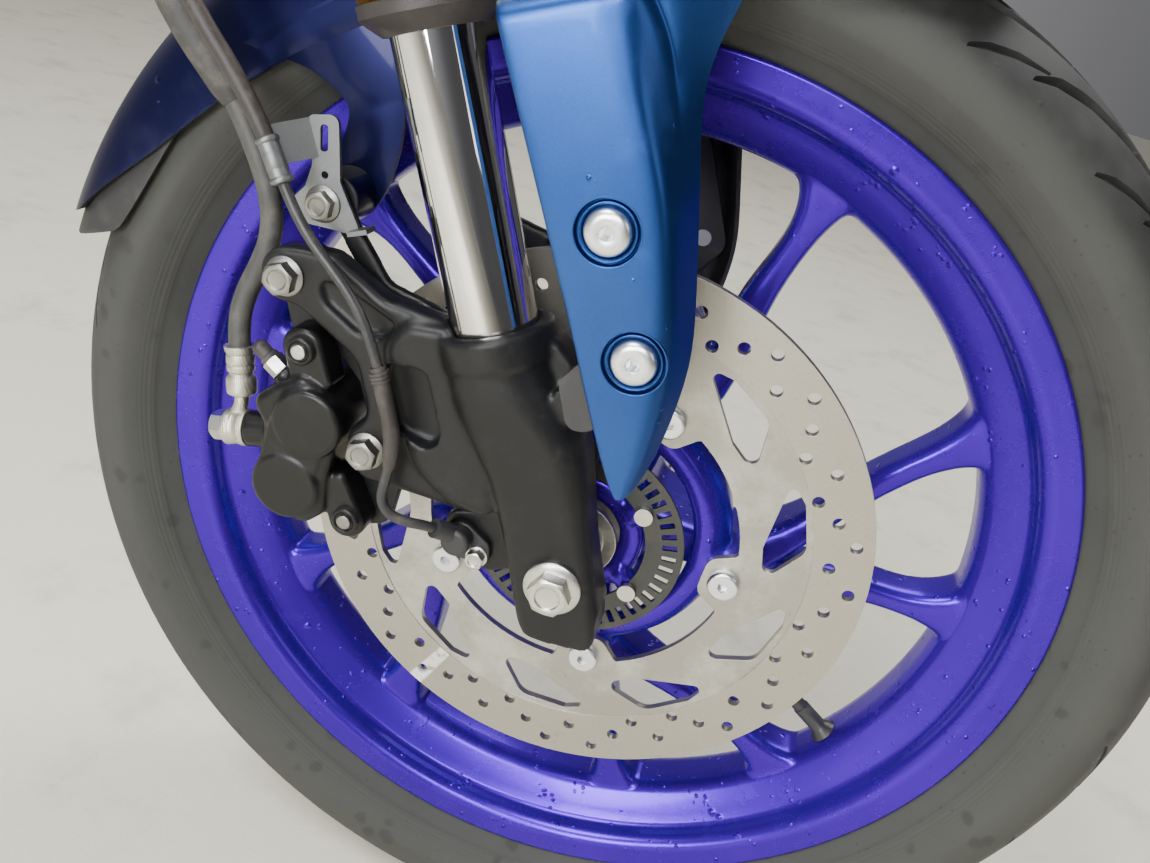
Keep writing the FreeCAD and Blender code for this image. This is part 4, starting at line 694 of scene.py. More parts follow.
def plasticFinish(name, colour, rough=0.5):
    finish = Finish(name)
    grain = finish.noise(1100, 4)
    cloud = finish.noise(40, 4)
    dust = finish.ramp(finish.noise(85, 6, roughness=0.7), 0.5, 0.8)
    shade = finish.mix(cloud, tinted(colour, 0.85), tinted(colour, 1.15))
    shade = finish.mix(dust * 0.22, shade, (0.2, 0.19, 0.17))
    return finish.set(Base_Color=shade, Roughness=rough + dust * 0.2, Normal=finish.bump(grain, 0.22, 0.0003))


def plaitFinish():
    # A crimped sleeve of fine plaited wire under a clear skin.
    finish = Finish("crimpSteel")
    n, y, u = finish.split(finish.inFork())
    weave = finish.add("Math", {"operation": "SINE"}, (u + n * 0.6) * 5200)
    cross = finish.add("Math", {"operation": "SINE"}, (u - n * 0.6) * 5200)
    plait = (weave * cross) * 0.5 + 0.5
    dirt = finish.ramp(finish.noise(120, 5), 0.45, 0.75)
    shade = finish.mix(plait, (0.42, 0.4, 0.33), (0.8, 0.78, 0.68))
    shade = finish.mix(dirt * 0.4, shade, (0.27, 0.24, 0.17))
    return finish.set(Base_Color=shade, Metallic=0.9, Roughness=0.34 + dirt * 0.2,
                      Normal=finish.bump(plait, 0.3, 0.0003))


rimPaint = paintFinish("rimPaint", (0.064, 0.0005, 0.46), (0.024, 0.0002, 0.23), 0.27, 0.08, 0.42, 0.12, 0.7)
coverPaint = paintFinish("coverPaint", (0.024, 0.075, 0.26), (0.011, 0.033, 0.145), 0.34, 0.08, 0.3, 0.35, 0.96)
# The mudguard's finish is the covers' blue paint made far darker. This is painted shade for the shade the guard
# sits in; the real guard wears the same paint as the covers.
shadedGuardPaint = paintFinish("shadedGuardPaint", (0.0045, 0.0055, 0.046), (0.0024, 0.003, 0.028), 0.36, 0.1, 0.3, 0.3, 0.7)
castBlack = castFinish("castBlack", (0.0064, 0.0067, 0.0076), 0.4, 0.1)
caliperBlack = castFinish("caliperBlack", (0.0056, 0.0057, 0.0062), 0.33, 0.1)
tyreRubber = tyreFinish()
discSteel = discFinish()
stanchionChrome = chromeFinish()
goldTube = metalFinish("goldTube", (0.82, 0.5, 0.1), 0.24, 0.15, 700, (1, 1, 0.1))
yokeAlloy = metalFinish("yokeAlloy", (0.1, 0.1, 0.105), 0.42, 0.2, 1200)
zincBolt = metalFinish("zincBolt", (0.6, 0.595, 0.56), 0.25, 0.4, 1400, stain=(0.26, 0.22, 0.15))
agedZinc = metalFinish("agedZinc", (0.27, 0.265, 0.25), 0.34, 0.5, 1400, stain=(0.14, 0.12, 0.09))
brightBolt = metalFinish("brightBolt", (0.82, 0.84, 0.86), 0.25, 0.12, 1300)
blackSteel = metalFinish("bracketSteel", (0.2, 0.21, 0.215), 0.42, 0.25, 800, pitted=0.4)
bareSteel = metalFinish("bareSteel", (0.5, 0.49, 0.46), 0.32, 0.4, 900)
toneSteel = metalFinish("toneSteel", (0.075, 0.077, 0.078), 0.4, 0.3, 900)
crimpSteel = plaitFinish()
hoseRubber = rubberFinish("hoseRubber", (0.048, 0.048, 0.047), 0.5, 0.4)
cableRubber = rubberFinish("cableRubber", (0.024, 0.024, 0.026), 0.36, 0.25)
sealRubber = rubberFinish("sealRubber", (0.028, 0.024, 0.023), 0.5, 0.3)
sleeveCloth = rubberFinish("sleeveCloth", (0.036, 0.035, 0.034), 0.62, 0.55, 90)
blackPlastic = plasticFinish("blackPlastic", (0.022, 0.022, 0.024))
padCompound = castFinish("padCompound", (0.06, 0.055, 0.05), 0.8, 0.4)
print("finishes made")


# CAD nodes that stay: welded and bevelled on the way to the render, with their finishes

carried = {
    # node: finish, bevel in millimetres (0 leaves the edges as they are)
    "tyre": (tyreRubber, 0), "wheel_rim": (rimPaint, 0.6), "wheel_bearings": (bareSteel, 0.3),
    "brake_disc": (discSteel, 0.3), "disc_bolts": (brightBolt, 0.3), "tone_ring": (toneSteel, 0.2),
    "tone_ring_bolts": (zincBolt, 0.4), "valve": (cableRubber, 0.4), "axle": (zincBolt, 0.5),
    "axle_collars": (bareSteel, 0.4), "fork_leg_right": (castBlack, 0.8), "fork_leg_left": (castBlack, 0.8),
    "pinch_bolt": (zincBolt, 0.4), "stanchions": (stanchionChrome, 0), "dust_seals": (sealRubber, 0),
    "outer_tubes": (goldTube, 0), "fork_caps": (yokeAlloy, 0.4), "lower_yoke": (yokeAlloy, 0.9),
    "upper_yoke": (yokeAlloy, 0.9), "yoke_bolts": (zincBolt, 0.3), "steering_stem": (bareSteel, 0.3),
    "stem_nut": (zincBolt, 0.5), "caliper_body": (caliperBlack, 0.6), "brake_pads": (padCompound, 0.3),
    "slide_pins": (zincBolt, 0.3), "caliper_bracket": (castBlack, 0.4), "caliper_bolts": (zincBolt, 0.4),
    "hose_ferrule": (crimpSteel, 0.3), "banjo_bolt": (zincBolt, 0.4), "bleed_nipple": (zincBolt, 0.3),
    # The mudguard gets the darkened copy of the covers' paint, which is painted shade.
    "mudguard": (shadedGuardPaint, 0.4), "fork_covers": (coverPaint, 0.3), "cover_brackets": (blackPlastic, 0.4),
    "cover_bolts": (brightBolt, 0.3), "brake_hose": (hoseRubber, 0), "hose_union": (bareSteel, 0.3),
    "cable_plug": (blackPlastic, 0.4), "hose_bracket": (blackSteel, 0.25), "bracket_bolt": (zincBolt, 0.3),
    "speed_sensor": (blackPlastic, 0.4), "sensor_bolt": (zincBolt, 0.3), "sensor_cable": (cableRubber, 0),
}
for name, (finish, edge) in carried.items():
    node = frame["nodes"][name]
    node.data.materials.clear()
    node.data.materials.append(finish)
    if edge:
        weld = node.modifiers.new("weld", "WELD")
        weld.merge_threshold = 0.000005
        bevel = node.modifiers.new("edge", "BEVEL")
        bevel.width = edge * mm
        bevel.segments = 2
        bevel.limit_method = "ANGLE"
        bevel.angle_limit = math.radians(38)
        bevel.harden_normals = False
print("carried nodes finished")


# Tyre

tyreSizes = {
    "crown": 68,          # radius of the crown, from shoulder to shoulder
    "crownCentre": 225.4,
    "shoulder": (271, 50.4),
    "pitches": 24,
    "grooveDepth": 4.2,
    "longGroove": [(8, 0, 1.2), (14, 5.5, 3.2), (21, 11, 3.8), (28, 15.5, 3.6), (36, 19, 3.0), (43.5, 21, 1.2)],
    "sipe": [(36.5, 5, 0.9), (41, 8, 1.9), (46, 10.5, 2.0), (49.8, 12, 1.0)],
}


def grooveSections(path, side, deep):
    # path: distance from the middle, turn in degrees, half width. The cutter stands 3 mm above the crown.
    sections = []
    for y, turn, half in path:
        lean = math.asin(y / tyreSizes["crown"])
        section = []
        for share, height in ((-1, -deep), (1, -deep), (1.35, 3), (-1.35, 3)):
            aside = lean + half * share / tyreSizes["crown"]
            radius = tyreSizes["crownCentre"] + (tyreSizes["crown"] + height) * math.cos(aside)
            x, z = polar(radius, turn)
            section.append((x, side * (tyreSizes["crown"] + height) * math.sin(aside), z))
        sections.append(section)
    return sections


def makeTyre():
    rim, wall = (241.3, 45.6), (254, 54.4)
    shoulder = tyreSizes["shoulder"]
    half = [(231.2, 34.9), (234.2, 37.6), (237.4, 41.6), (239.2, 43.2), (239.9, 44.6), rim]
    half += arcPoints(rim, wall, -40, 6) + [wall] + arcPoints(wall, shoulder, -26, 6) + [shoulder]
    crown = arcPoints(shoulder, (shoulder[0], -shoulder[1]), -tyreSizes["crown"], 28)
    inside = [(218.7, -34.8), (218.7, -26), (232, -28.5), (256, -41), (268, -38)]
    inner = arcPoints(inside[-1], (268, 38), 66, 8)
    outline = half + crown + [(r, -y) for r, y in reversed(half)]
    outline += inside + inner + [(r, -y) for r, y in reversed(inside)]
    tyre = drawTurned("tyrePiece", outline, steps=180)
    cutters = []
    pitch = 360 / tyreSizes["pitches"]
    for side in (-1, 1):
        for name, deep in (("longGroove", tyreSizes["grooveDepth"]), ("sipe", 3)):
            cutter = drawSections(name, grooveSections(tyreSizes[name], side, deep), True, True)
            cutters += turnedCopies(cutter, name, tyreSizes["pitches"], pitch / 2 if side > 0 else 0)
    cutWith(tyre, joinPieces("treadCutter", cutters))
    return settle(tyre, wheelFrame, tyreRubber, "wheel", ("tyre",), 32)


makeTyre()
print("tyre modelled")


# Rim

rimSizes = {
    "grain": 2.05,         # voxel of the spokes' casting, in millimetres
    "rounds": 6,
    "barrel": [            # radius, distance from the middle, rounding
        (190.65, 8.5, 4), (193.9, 14.4, 3), (203.2, 20.0, 3), (212.2, 24.9, 2.6), (213.3, 32.2, 2.4),
        (217.2, 36.8, 3.2), (224, 37.3, 2), (230.4, 38, 1.1), (231.6, 36.6, 0.9), (231.2, 34.4, 0),
        (218.4, 34.4, 0.8), (217.3, 21.5, 2), (205, 12, 3),
    ],
}


def makeRim():
    core = castCopy("wheel_rim", "rimCore", rimSizes["grain"], rimSizes["rounds"])
    ring = drawTurned("rimTrim", [(0, 70), (199.5, 70), (199.5, -70), (0, -70)], steps=128)
    ring.matrix_world = wheelFrame
    cutWith(core, ring, "INTERSECT", "MANIFOLD")
    settle(core, None, rimPaint, "wheel", ("wheel_rim",), 50)
    half = rimSizes["barrel"]
    other = [(r, -y, soft) for r, y, soft in reversed(half)]
    barrel = drawTurned("rimBarrel", half + other, steps=240, segments=6)
    settle(barrel, wheelFrame, rimPaint, "wheel", ("wheel_rim",), 30)


makeRim()
print("rim modelled")
# Castings

castings = {
    # node: piece, voxel in millimetres, rounds of easing, finish
    "fork_leg_right": ("rightLegCasting", 1.2, 6, castBlack),
    "fork_leg_left": ("leftLegCasting", 1.7, 4, castBlack),
    "caliper_body": ("caliperCasting", 0.85, 5, caliperBlack),
}
castingWebs = {
    # node: outline of a web cast in with it, and its faces
    "fork_leg_right": ([(-25, 110, 6), (-54, 116, 6), (-54, 74, 8), (-25, 62, 8)], -99, -91.5),
    "caliper_body": ([(-122.6, 66.4, 3), (-104, 95.6, 4), (-81, 80.4, 3), (-100.2, 51.4, 3)], -109.5, -96),
}


def castWebs(node):
    # The floor of the arm's pocket, and the land between the two piston bosses.
    if node not in castingWebs:
        return []
    web = drawPlate("castWeb", *castingWebs[node])
    setIn(web, forkFrame)
    return [web]


for node, (name, grain, rounds, finish) in castings.items():
    settle(castCopy(node, name, grain, rounds, castWebs(node)), None, finish, "fork", (node,), 50)
print("castings eased")


# Mudguard

guardSizes = {
    "outer": 303,
    "half": 62.2,
    "wall": 2.5,
    "across": [(-67, 0, 0), (-38, 0, 9), (-20, -3, 9), (-8, -11, 7), (-1, -24, 9), (2.5, -42.2, 9),
               (3.5, -62.2, 0)],
    "edge": [(57, 169, 0), (-8.4, 166.1, 6), (-18.6, 161.9, 10), (-29, 157.5, 12), (-37.4, 152.6, 20),
             (-43.8, 145.7, 16), (-47.7, 140.5, 14), (-51, 134, 10), (-53.5, 127, 18), (-56, 112, 20),
             (-54, 100, 20), (-47, 88, 12), (-38, 84, 12), (-24, 79, 14), (-8, 73.5, 10), (0, 70, 4),
             (57, 69, 0), (117, 115, 0)],
    "ear": [(-30, 262, 0), (-30, 214, 10), (-38, 193, 8), (-50, 174, 8), (-62, 166, 9), (-75, 176, 9),
            (-72, 190, 7), (-60, 206, 7), (-57, 214, 4), (-69, 230, 8), (-100, 246, 0)],
    "flap": [(60, 150, 0), (-38, 150, 0), (-38.5, 160, 6), (-35.5, 164.2, 4), (-12.2, 168, 3), (10, 169.6, 0),
             (60, 170, 0)],
    "seam": [(257.3, 143.5), (255.5, 140.5), (253.6, 137), (252, 134), (250.4, 131), (249, 127.8), (248.2, 125)],
    "seamCut": [(0.9985, -0.9), (1.0015, -0.9), (1.0015, 2), (0.9985, 2)],     # share of the radius, lift
    "bolt": (-66, 177.5),
}


def makeMudguard():
    outer, half, wall = guardSizes["outer"], guardSizes["half"], guardSizes["wall"]
    outside = [(outer + r, half + y, soft) for r, y, soft in guardSizes["across"]]
    inside = [(r - wall * (0 if place == 0 else 1 if place > 2 else 0.5), y - wall * (1 if place < 5 else 0), soft)
              for place, (r, y, soft) in enumerate(outside)]
    outline = outside + [(r, -y, soft) for r, y, soft in outside[-2::-1]]
    outline += [(r, -y, soft) for r, y, soft in inside[:-1]] + inside[::-1]
    guard = drawTurned("mudguardPiece", outline, steps=90, sweep=102)
    turnTo(guard, 68)
    cutOutline(guard, guardSizes["edge"])
    seams = []
    for side in (-1, 1):
        sections = []
        for radius, turn in guardSizes["seam"]:
            x, z = polar(radius, turn)
            sections.append([(x * k, side * (half + lift), z * k) for k, lift in guardSizes["seamCut"]])
        seams.append(drawSections("guardSeam", sections, True, True))
    cutWith(guard, joinPieces("guardSeam", seams))
    ears = []
    for side in (-1, 1):
        ear = drawPlate("guardEar", guardSizes["ear"], side * (half - 0.15), side * (half - wall))
        profile = [(0, half - wall), (12, half - wall), (12, 82, 1.2), (3.2, 82), (3.2, 80), (0, 80)]
        boss = drawTurned("guardBoss", profile, steps=48, closed=False)
        deselect()
        x, z = guardSizes["bolt"]
        boss.matrix_world = Matrix.Translation((x, 0, z)) @ Matrix.Diagonal((1, side, 1, 1))
        ears += [ear, boss]
    ears = joinPieces("guardEars", ears)
    ears.matrix_world = wheelFrame.inverted() @ forkFrame @ ears.matrix_world
    guard = joinPieces("mudguardPiece", [guard, ears])
    # The guard's outside takes the darkened paint, which is painted shade on its blue.
    settle(guard, wheelFrame, shadedGuardPaint, "fork", ("mudguard",), 32, 0.35)
    lineWith(guard, blackPlastic, isInside)
    settle(makeFlap(), wheelFrame, blackPlastic, "fork", (), 32, 0.3)


def isInside(face):
    # Turned towards the wheel: back to the axle, or inward across it.
    out = face.calc_center_median() - axle
    radial = Vector((out.x, 0, out.z)).normalized()
    return face.normal.dot(radial) < -0.35 or face.normal.y * out.y < -0.3 * abs(out.y)


def cutOutline(shell, corners):
    # What is left of a shell inside an outline drawn about the axle and pushed across the wheel.
    outer = guardSizes["outer"]
    edge = drawRounded("guardOutline", [(*polar(outer + beyond, turn), soft) for beyond, turn, soft in corners],
                       lambda x, z: (x, -90, z), 8)
    bpy.ops.mesh.select_all(action="SELECT")
    bpy.ops.mesh.edge_face_add()
    bpy.ops.mesh.extrude_region_move(TRANSFORM_OT_translate={"value": (0, 180, 0)})
    tidyMesh()
    cutWith(shell, edge, "INTERSECT")


def makeFlap():
    # A rubber flap under the guard's rear end, in the guard's own curve a little nearer the tyre.
    outer, half = guardSizes["outer"] - 3.1, guardSizes["half"] - 3
    outside = [(outer + r, half + y * 0.95, soft) for r, y, soft in guardSizes["across"]]
    inside = [(r - (0 if place == 0 else 1.8), y - (1.8 if place < 5 else 0), soft)
              for place, (r, y, soft) in enumerate(outside)]
    outline = outside[:-1] + [(outside[-1][0], 0, 0)] + [(r, -y, soft) for r, y, soft in outside[-2::-1]]
    outline += [(r, -y, soft) for r, y, soft in inside[:-1]] + [(inside[-1][0], 0, 0)] + inside[-2::-1]
    flap = drawTurned("guardFlap", outline, steps=20, sweep=22)
    turnTo(flap, 149)
    cutOutline(flap, guardSizes["flap"])
    return flap


makeMudguard()
print("mudguard modelled")


# Fork covers

coverSizes = {
    "face": 121,
    "wall": 2.6,
    "bolts": [(60.5, 156.7), (63.0, 105.7)],
    # height, rear edge, crease, front edge, rear fold, front fold, groove's middle, half width and depth
    "sections": [
        (48.4, 47, 49.5, 52, 3, 2.6, 0, 0, 0),
        (55, 44.8, 53.5, 59, 6, 7, 0, 0, 0),
        (70, 42.9, 62, 69, 7.5, 12, 0, 0, 0),
        (98, 41, 73, 83, 7.5, 17, 0, 0, 0),
        (123, 40, 79, 87, 7.5, 20, 0, 0, 0),
        (150, 38, 82.5, 91, 7.5, 22, 0, 0, 0),
        (172, 36.5, 83, 94, 7.5, 22, 0, 0, 0),
        (200, 34.5, 79, 98, 7.5, 22, 90, 1.8, 0.5),
        (218, 33.3, 77, 108, 7.5, 22, 91.5, 2.4, 3.6),
        (234, 32.3, 75, 121, 7.5, 22, 87.5, 3.6, 5.6),
        (241, 32, 74.5, 124, 7.5, 22, 85, 4.5, 6),
    ],
    "top": 268,
    "topFace": 69.2,
    "well": [(4.9, 0), (9.6, 0.2, 0.2), (10.0, 1.7, 0.4), (11.0, 2.7, 0.4), (11.6, 2.3, 0.3), (11.9, 0.6, 0.2),
             (12.2, 0.6, 0.2), (12.7, 3.3, 0.3), (13.4, 3.35, 0.1), (13.3, 1.0, 0), (12.6, -2.4, 0),
             (4.9, -2.4, 0)],
    "head": [(0, 0.4), (1.6, 0.4), (2.6, 3.1), (2.9, 5.0, 0.2), (6.0, 5.2, 1), (9.1, 4.1, 1.6), (9.5, 0, 0.3),
             (4.8, 0), (4.8, -10), (0, -10)],
    "seat": 3.2,           # depth of the bolts' seats below the face
}


def coverLine(height, rear, crease, front, rearFold, frontFold, groove, half, depth):
    face = coverSizes["face"]
    slope = frontFold / (front - crease)
    wide = min(1.0, (crease - rear) / 24)
    soft = 5.5 * min(1.0, (front - crease) / 11)
    if not depth:
        groove, half = crease + 0.62 * (front - crease), 0.1 * (front - crease)
    flat = crease - 6 * wide
    line = [(rear, rearFold), (rear, 1.8 * wide), (rear + 0.5 * wide, 0.5 * wide), (rear + 1.8 * wide, 0)]
    line += [(rear + (flat - rear) * share, 0) for share in (0.35, 0.7, 1)]
    line += [(crease, 0.9 * wide), (crease + soft * 0.8, slope * soft * 0.8)]
    line += [(x, slope * (x - crease) + sunk)
             for x, sunk in ((groove - half, 0), (groove, depth), (groove + half, 0))]
    line += [(front - 0.8 * wide, frontFold - 0.8 * wide * slope), (front, frontFold)]
    return [(x, sunk - face, height) for x, sunk in line]


def makeCover():
    sections = [coverLine(*row) for row in coverSizes["sections"]]
    last = sections[-1]
    low = last[0][0], last[-1][0]
    high = coverSizes["topFace"]
    top = []
    for place, (x, y, height) in enumerate(last):
        share = (x - low[0]) / (low[1] - low[0])
        sunk = 1.5 if place == 0 else 0
        top.append((32 + 88 * share, -high + 4 * share * share + sunk, coverSizes["top"]))
    sections.append(top)
    cover = drawSections("forkCover", sections, False)
    modify(cover, "SUBSURF", levels=2)
    modify(cover, "SOLIDIFY", thickness=coverSizes["wall"], offset=-1)
    for x, z in coverSizes["bolts"]:
        hole = drawTurned("coverHole", [(0, -130), (12.8, -130), (12.8, -110), (0, -110)], steps=96, closed=False)
        deselect()
        hole.matrix_world = Matrix.Translation((x, 0, z))
        cutWith(cover, hole)
    wells = []
    for x, z in coverSizes["bolts"]:
        well = drawTurned("coverWell", coverSizes["well"], upright=True, steps=96, segments=3)
        deselect()
        well.matrix_world = facing((x, coverSizes["seat"] - coverSizes["face"], z), (0, -1, 0))
        wells.append(well)
    return joinPieces("forkCover", [cover] + wells)


def makeCovers():
    cover = makeCover()
    farCover = mirrored(cover, "forkCoverFar")
    bolts = []
    for side in (-1, 1):
        for x, z in coverSizes["bolts"]:
            bolt = drawTurned("coverBolt", coverSizes["head"], upright=True, steps=64, closed=False, segments=4)
            deselect()
            bolt.matrix_world = facing((x, side * (coverSizes["face"] - coverSizes["seat"]), z), (0, side, 0))
            bolts.append(bolt)
    for piece, side in ((cover, -1), (farCover, 1)):
        settle(piece, forkFrame, coverPaint, "fork", ("fork_covers",), 35)
        lineWith(piece, blackPlastic, lambda face: face.normal.y * side < -0.12)
    settle(joinPieces("coverBolts", bolts), forkFrame, brightBolt, "fork", ("cover_bolts",), 40)


makeCovers()
print("covers modelled")


# Hose and cable

def drawPipe(name, points, radius, swells=None):
    # A NURBS path extruded point by point, given a round bevel and turned into a mesh.
    deselect()
    bpy.ops.curve.primitive_nurbs_path_add(radius=1)
    pipe = bpy.context.object
    pipe.name = name
    bpy.ops.object.mode_set(mode="EDIT")
    bpy.ops.curve.select_all(action="DESELECT")
    for point in pipe.data.splines[0].points[2:]:
        point.select = True
    bpy.ops.curve.delete(type="VERT")
    for place in (0, 1):
        bpy.ops.curve.select_all(action="DESELECT")
        point = pipe.data.splines[0].points[place]
        point.select = True
        bpy.ops.transform.translate(value=Vector(points[place]) - point.co.xyz)
    for before, point in zip(points[1:], points[2:]):
        bpy.ops.curve.extrude_move(TRANSFORM_OT_translate={"value": Vector(point) - Vector(before)})
    spline = pipe.data.splines[0]
    spline.use_endpoint_u = True
    spline.order_u = 3
    spline.resolution_u = 8
    if swells:
        for point, swell in zip(spline.points, swells):
            point.radius = swell
    pipe.data.bevel_depth = radius
    pipe.data.bevel_resolution = 6
    pipe.data.use_fill_caps = True
    choose(pipe)
    bpy.ops.object.convert(target="MESH")
    bpy.ops.object.mode_set(mode="EDIT")
    tidyMesh()
    return pipe


def between(first, last, share):
    return tuple(a + (b - a) * share for a, b in zip(first, last))


hoseSizes = {
    "radius": 5.0,
    "sleeve": 7.7,
    "sleeveFrom": 9,       # the route's point where the thick sleeve starts
    "foot": (-129.5, -92, 97),
    "inlet": (-112, -94, 78.5),
    "inletWay": (-1, 0, 0.18),
    "inletLength": 17,
    "route": [(-124.5, -90, 120.5), (-122, -89, 132), (-116, -87, 143), (-108, -86, 152), (-100, -86, 161),
              (-94.5, -86, 171), (-92, -86, 182), (-91.6, -86, 194), (-93, -86, 207), (-95, -86, 220),
              (-100, -86, 236), (-107, -86, 252), (-113, -86, 272), (-114, -86, 302), (-108, -86, 336),
              (-93, -87, 366), (-75, -88, 392), (-64, -90, 413), (-62, -90, 425), (-62, -90, 436)],
    "crimp": [(0, 0), (3.6, 0), (5.2, 0.6), (6.6, 1.6, 0.4), (6.9, 3, 0.5), (6.9, 8.5, 0.8), (6.2, 9.8),
              (5.3, 10.6, 0.3), (5.2, 11.6, 0.3), (6.2, 12.2, 0.3), (6.4, 14.5, 0.4), (5.9, 15.3, 0.3),
              (6.4, 16.1, 0.3), (6.4, 19.5, 0.5), (5.9, 20.3, 0.3), (6.6, 21.2, 0.3), (6.9, 22.6, 0.3),
              (7.1, 24.1, 0.2), (5.0, 24.1), (0, 24.1)],
    "eye": [(5.1, 0), (8.8, 0, 0.6), (8.8, 3.2, 0.4), (8.3, 3.8), (8.3, 7.2), (8.8, 7.8, 0.4), (8.8, 11, 0.6),
            (5.1, 11)],
    "neck": 3.3,
}


def makeHose():
    route = hoseSizes["route"]
    settle(drawPipe("hosePiece", route, hoseSizes["radius"]), forkFrame, hoseRubber, "fork", ("brake_hose",), 60)
    start = hoseSizes["sleeveFrom"]
    run = [between(route[start], route[start + 1], share) for share in (0.2, 0.6)] + route[start + 1:-2]
    swells = [0.7, 0.96] + [1] * (len(run) - 3) + [0.75]
    sleeve = drawPipe("hoseSleeve", run, hoseSizes["sleeve"], swells)
    settle(sleeve, forkFrame, sleeveCloth, "fork", ("brake_hose",), 60)
    foot, way = Vector(hoseSizes["foot"]), Vector(hoseSizes["inletWay"]).normalized()
    seat = Vector(hoseSizes["inlet"]) + way * hoseSizes["inletLength"]
    line = (Vector(route[0]) - foot).normalized()
    crimp = drawTurned("hoseCrimp", hoseSizes["crimp"], upright=True, steps=48, closed=False, segments=3)
    settle(crimp, forkFrame @ facing(foot, line), crimpSteel, "fork", ("hose_ferrule",), 40)
    middle = seat + way * 5.5
    neck = drawPipe("hoseNeck", [middle, middle + Vector((-2.5, 0.2, 5)), foot - line * 5, foot + line * 2],
                    hoseSizes["neck"])
    eye = drawTurned("hoseEye", hoseSizes["eye"], upright=True, steps=48, segments=3)
    deselect()
    eye.matrix_world = facing(seat, way)
    settle(joinPieces("hoseNeck", [neck, eye]), forkFrame, crimpSteel, "fork", ("hose_ferrule",), 40)
    bolt = drawBolt("banjoPiece", 12.2, 7.4, 7.8, 1.6, 4.9, 20)
    settle(bolt, forkFrame @ facing(seat + way * 11, way), zincBolt, "fork", ("banjo_bolt",), 30)


cableSizes = {
    "radius": 2.4,
    "thick": 3.7,
    "grommet": 3.8,
    "route": [(-44, -103, 30), (-46.6, -106.9, 33.7), (-53, -110, 37), (-59.5, -112, 42), (-61.5, -113, 50),
              (-57, -113.2, 59), (-51.5, -113, 69), (-48, -113.2, 81), (-47.5, -113, 95), (-47.2, -113.2, 109),
              (-48, -112.5, 124), (-51, -112, 139), (-57, -111.5, 152.5), (-64, -110.5, 165), (-69, -109, 178.5),
              (-71.8, -108, 192), (-74, -107, 206), (-77, -106.5, 220), (-82, -106, 236), (-89, -105.5, 254),
              (-95, -105, 275), (-97, -105.2, 302), (-93, -105, 333), (-82, -105.2, 362), (-70, -105, 388),
              (-63, -105.5, 412), (-62, -106, 440)],
    "ring": [(2, -0.8), (4.4, -0.8, 0.3), (4.4, 0.8, 0.3), (2, 0.8)],
    "clip": [(2.2, -9.5), (4.2, -9.5, 0.4), (4.9, -9, 0.4), (4.9, -7.4, 0.4), (4.3, -6.8), (4.4, 6.8),
             (5.0, 7.4, 0.4), (5.0, 8.8, 0.4), (4.2, 9.6, 0.4), (2.2, 9.6)],
}


def makeCable():
    route = cableSizes["route"]
    cable = drawPipe("cablePiece", route, cableSizes["radius"])
    settle(cable, forkFrame, cableRubber, "fork", ("sensor_cable",), 60)
    above = [between(route[15], route[16], 0.9)] + route[16:-1]
    thick = drawPipe("cableThick", above, cableSizes["thick"], [0.8] + [1] * (len(above) - 1))
    boot = [between(route[9], route[10], 0.15)] + route[6:10][::-1] + [between(route[6], route[5], 0.4)]
    grommet = drawPipe("cableBoot", boot, cableSizes["grommet"], [0.95, 1, 1, 1, 0.95, 0.7])
    rings = []
    for share in (0.02, 0.14, 0.26):
        ring = drawTurned("bootRing", cableSizes["ring"], upright=True, steps=32, segments=3)
        deselect()
        spot = between(route[9], route[8], share)
        ring.matrix_world = facing(spot, Vector(route[9]) - Vector(route[8]))
        rings.append(ring)
    sleeves = joinPieces("cableSleeves", [thick, grommet] + rings)
    settle(sleeves, forkFrame, sealRubber, "fork", ("sensor_cable",), 50)
    low, high = Vector(route[15]), Vector(route[16])
    clip = drawTurned("cableClip", cableSizes["clip"], upright=True, steps=48, segments=3)
    settle(clip, forkFrame @ facing((low + high) / 2, high - low), blackSteel, "fork", (), 40)


# Bolts

def drawBolt(name, across, height, flange, lift, shank, length, hollow=0.5):
    # A hexagon head on a round flange, upright from its seat, its top chamfered and a little hollow.
    half = across / 2
    corner = half / math.cos(math.radians(30))
    head = drawChain(name, [(*polar(corner, 60 * k), lift * 0.5) for k in range(6)])
    bpy.ops.mesh.select_all(action="SELECT")
    bpy.ops.mesh.edge_face_add()
    bpy.ops.mesh.extrude_region_move(TRANSFORM_OT_translate={"value": (0, 0, height + 2)})
    tidyMesh()
    rim, wide = half * 0.93, corner + 1
    top = [(0, -1), (wide, -1), (wide, height - (wide - rim) * 0.6), (rim, height, 0.2),
           (rim * 0.74, height, 0.2), (rim * 0.66, height - hollow, 0.2), (0, height - hollow)]
    cap = drawTurned("boltCap", top, upright=True, steps=48, closed=False, segments=2)
    cutWith(head, cap, "INTERSECT")
    foot = [(0, lift), (half, lift), (flange - 1.2, lift * 0.72), (flange, lift * 0.5, 0.3), (flange, 0, 0.2)]
    foot += [(shank, 0), (shank, -length, 0.5), (0, -length)]
    base = drawTurned("boltFoot", foot, upright=True, steps=48, closed=False, segments=3)
    bolt = joinPieces(name, [head, base])
    modify(bolt, "BEVEL", width=0.22, segments=2, limit_method="ANGLE", angle_limit=math.radians(40))
    return bolt


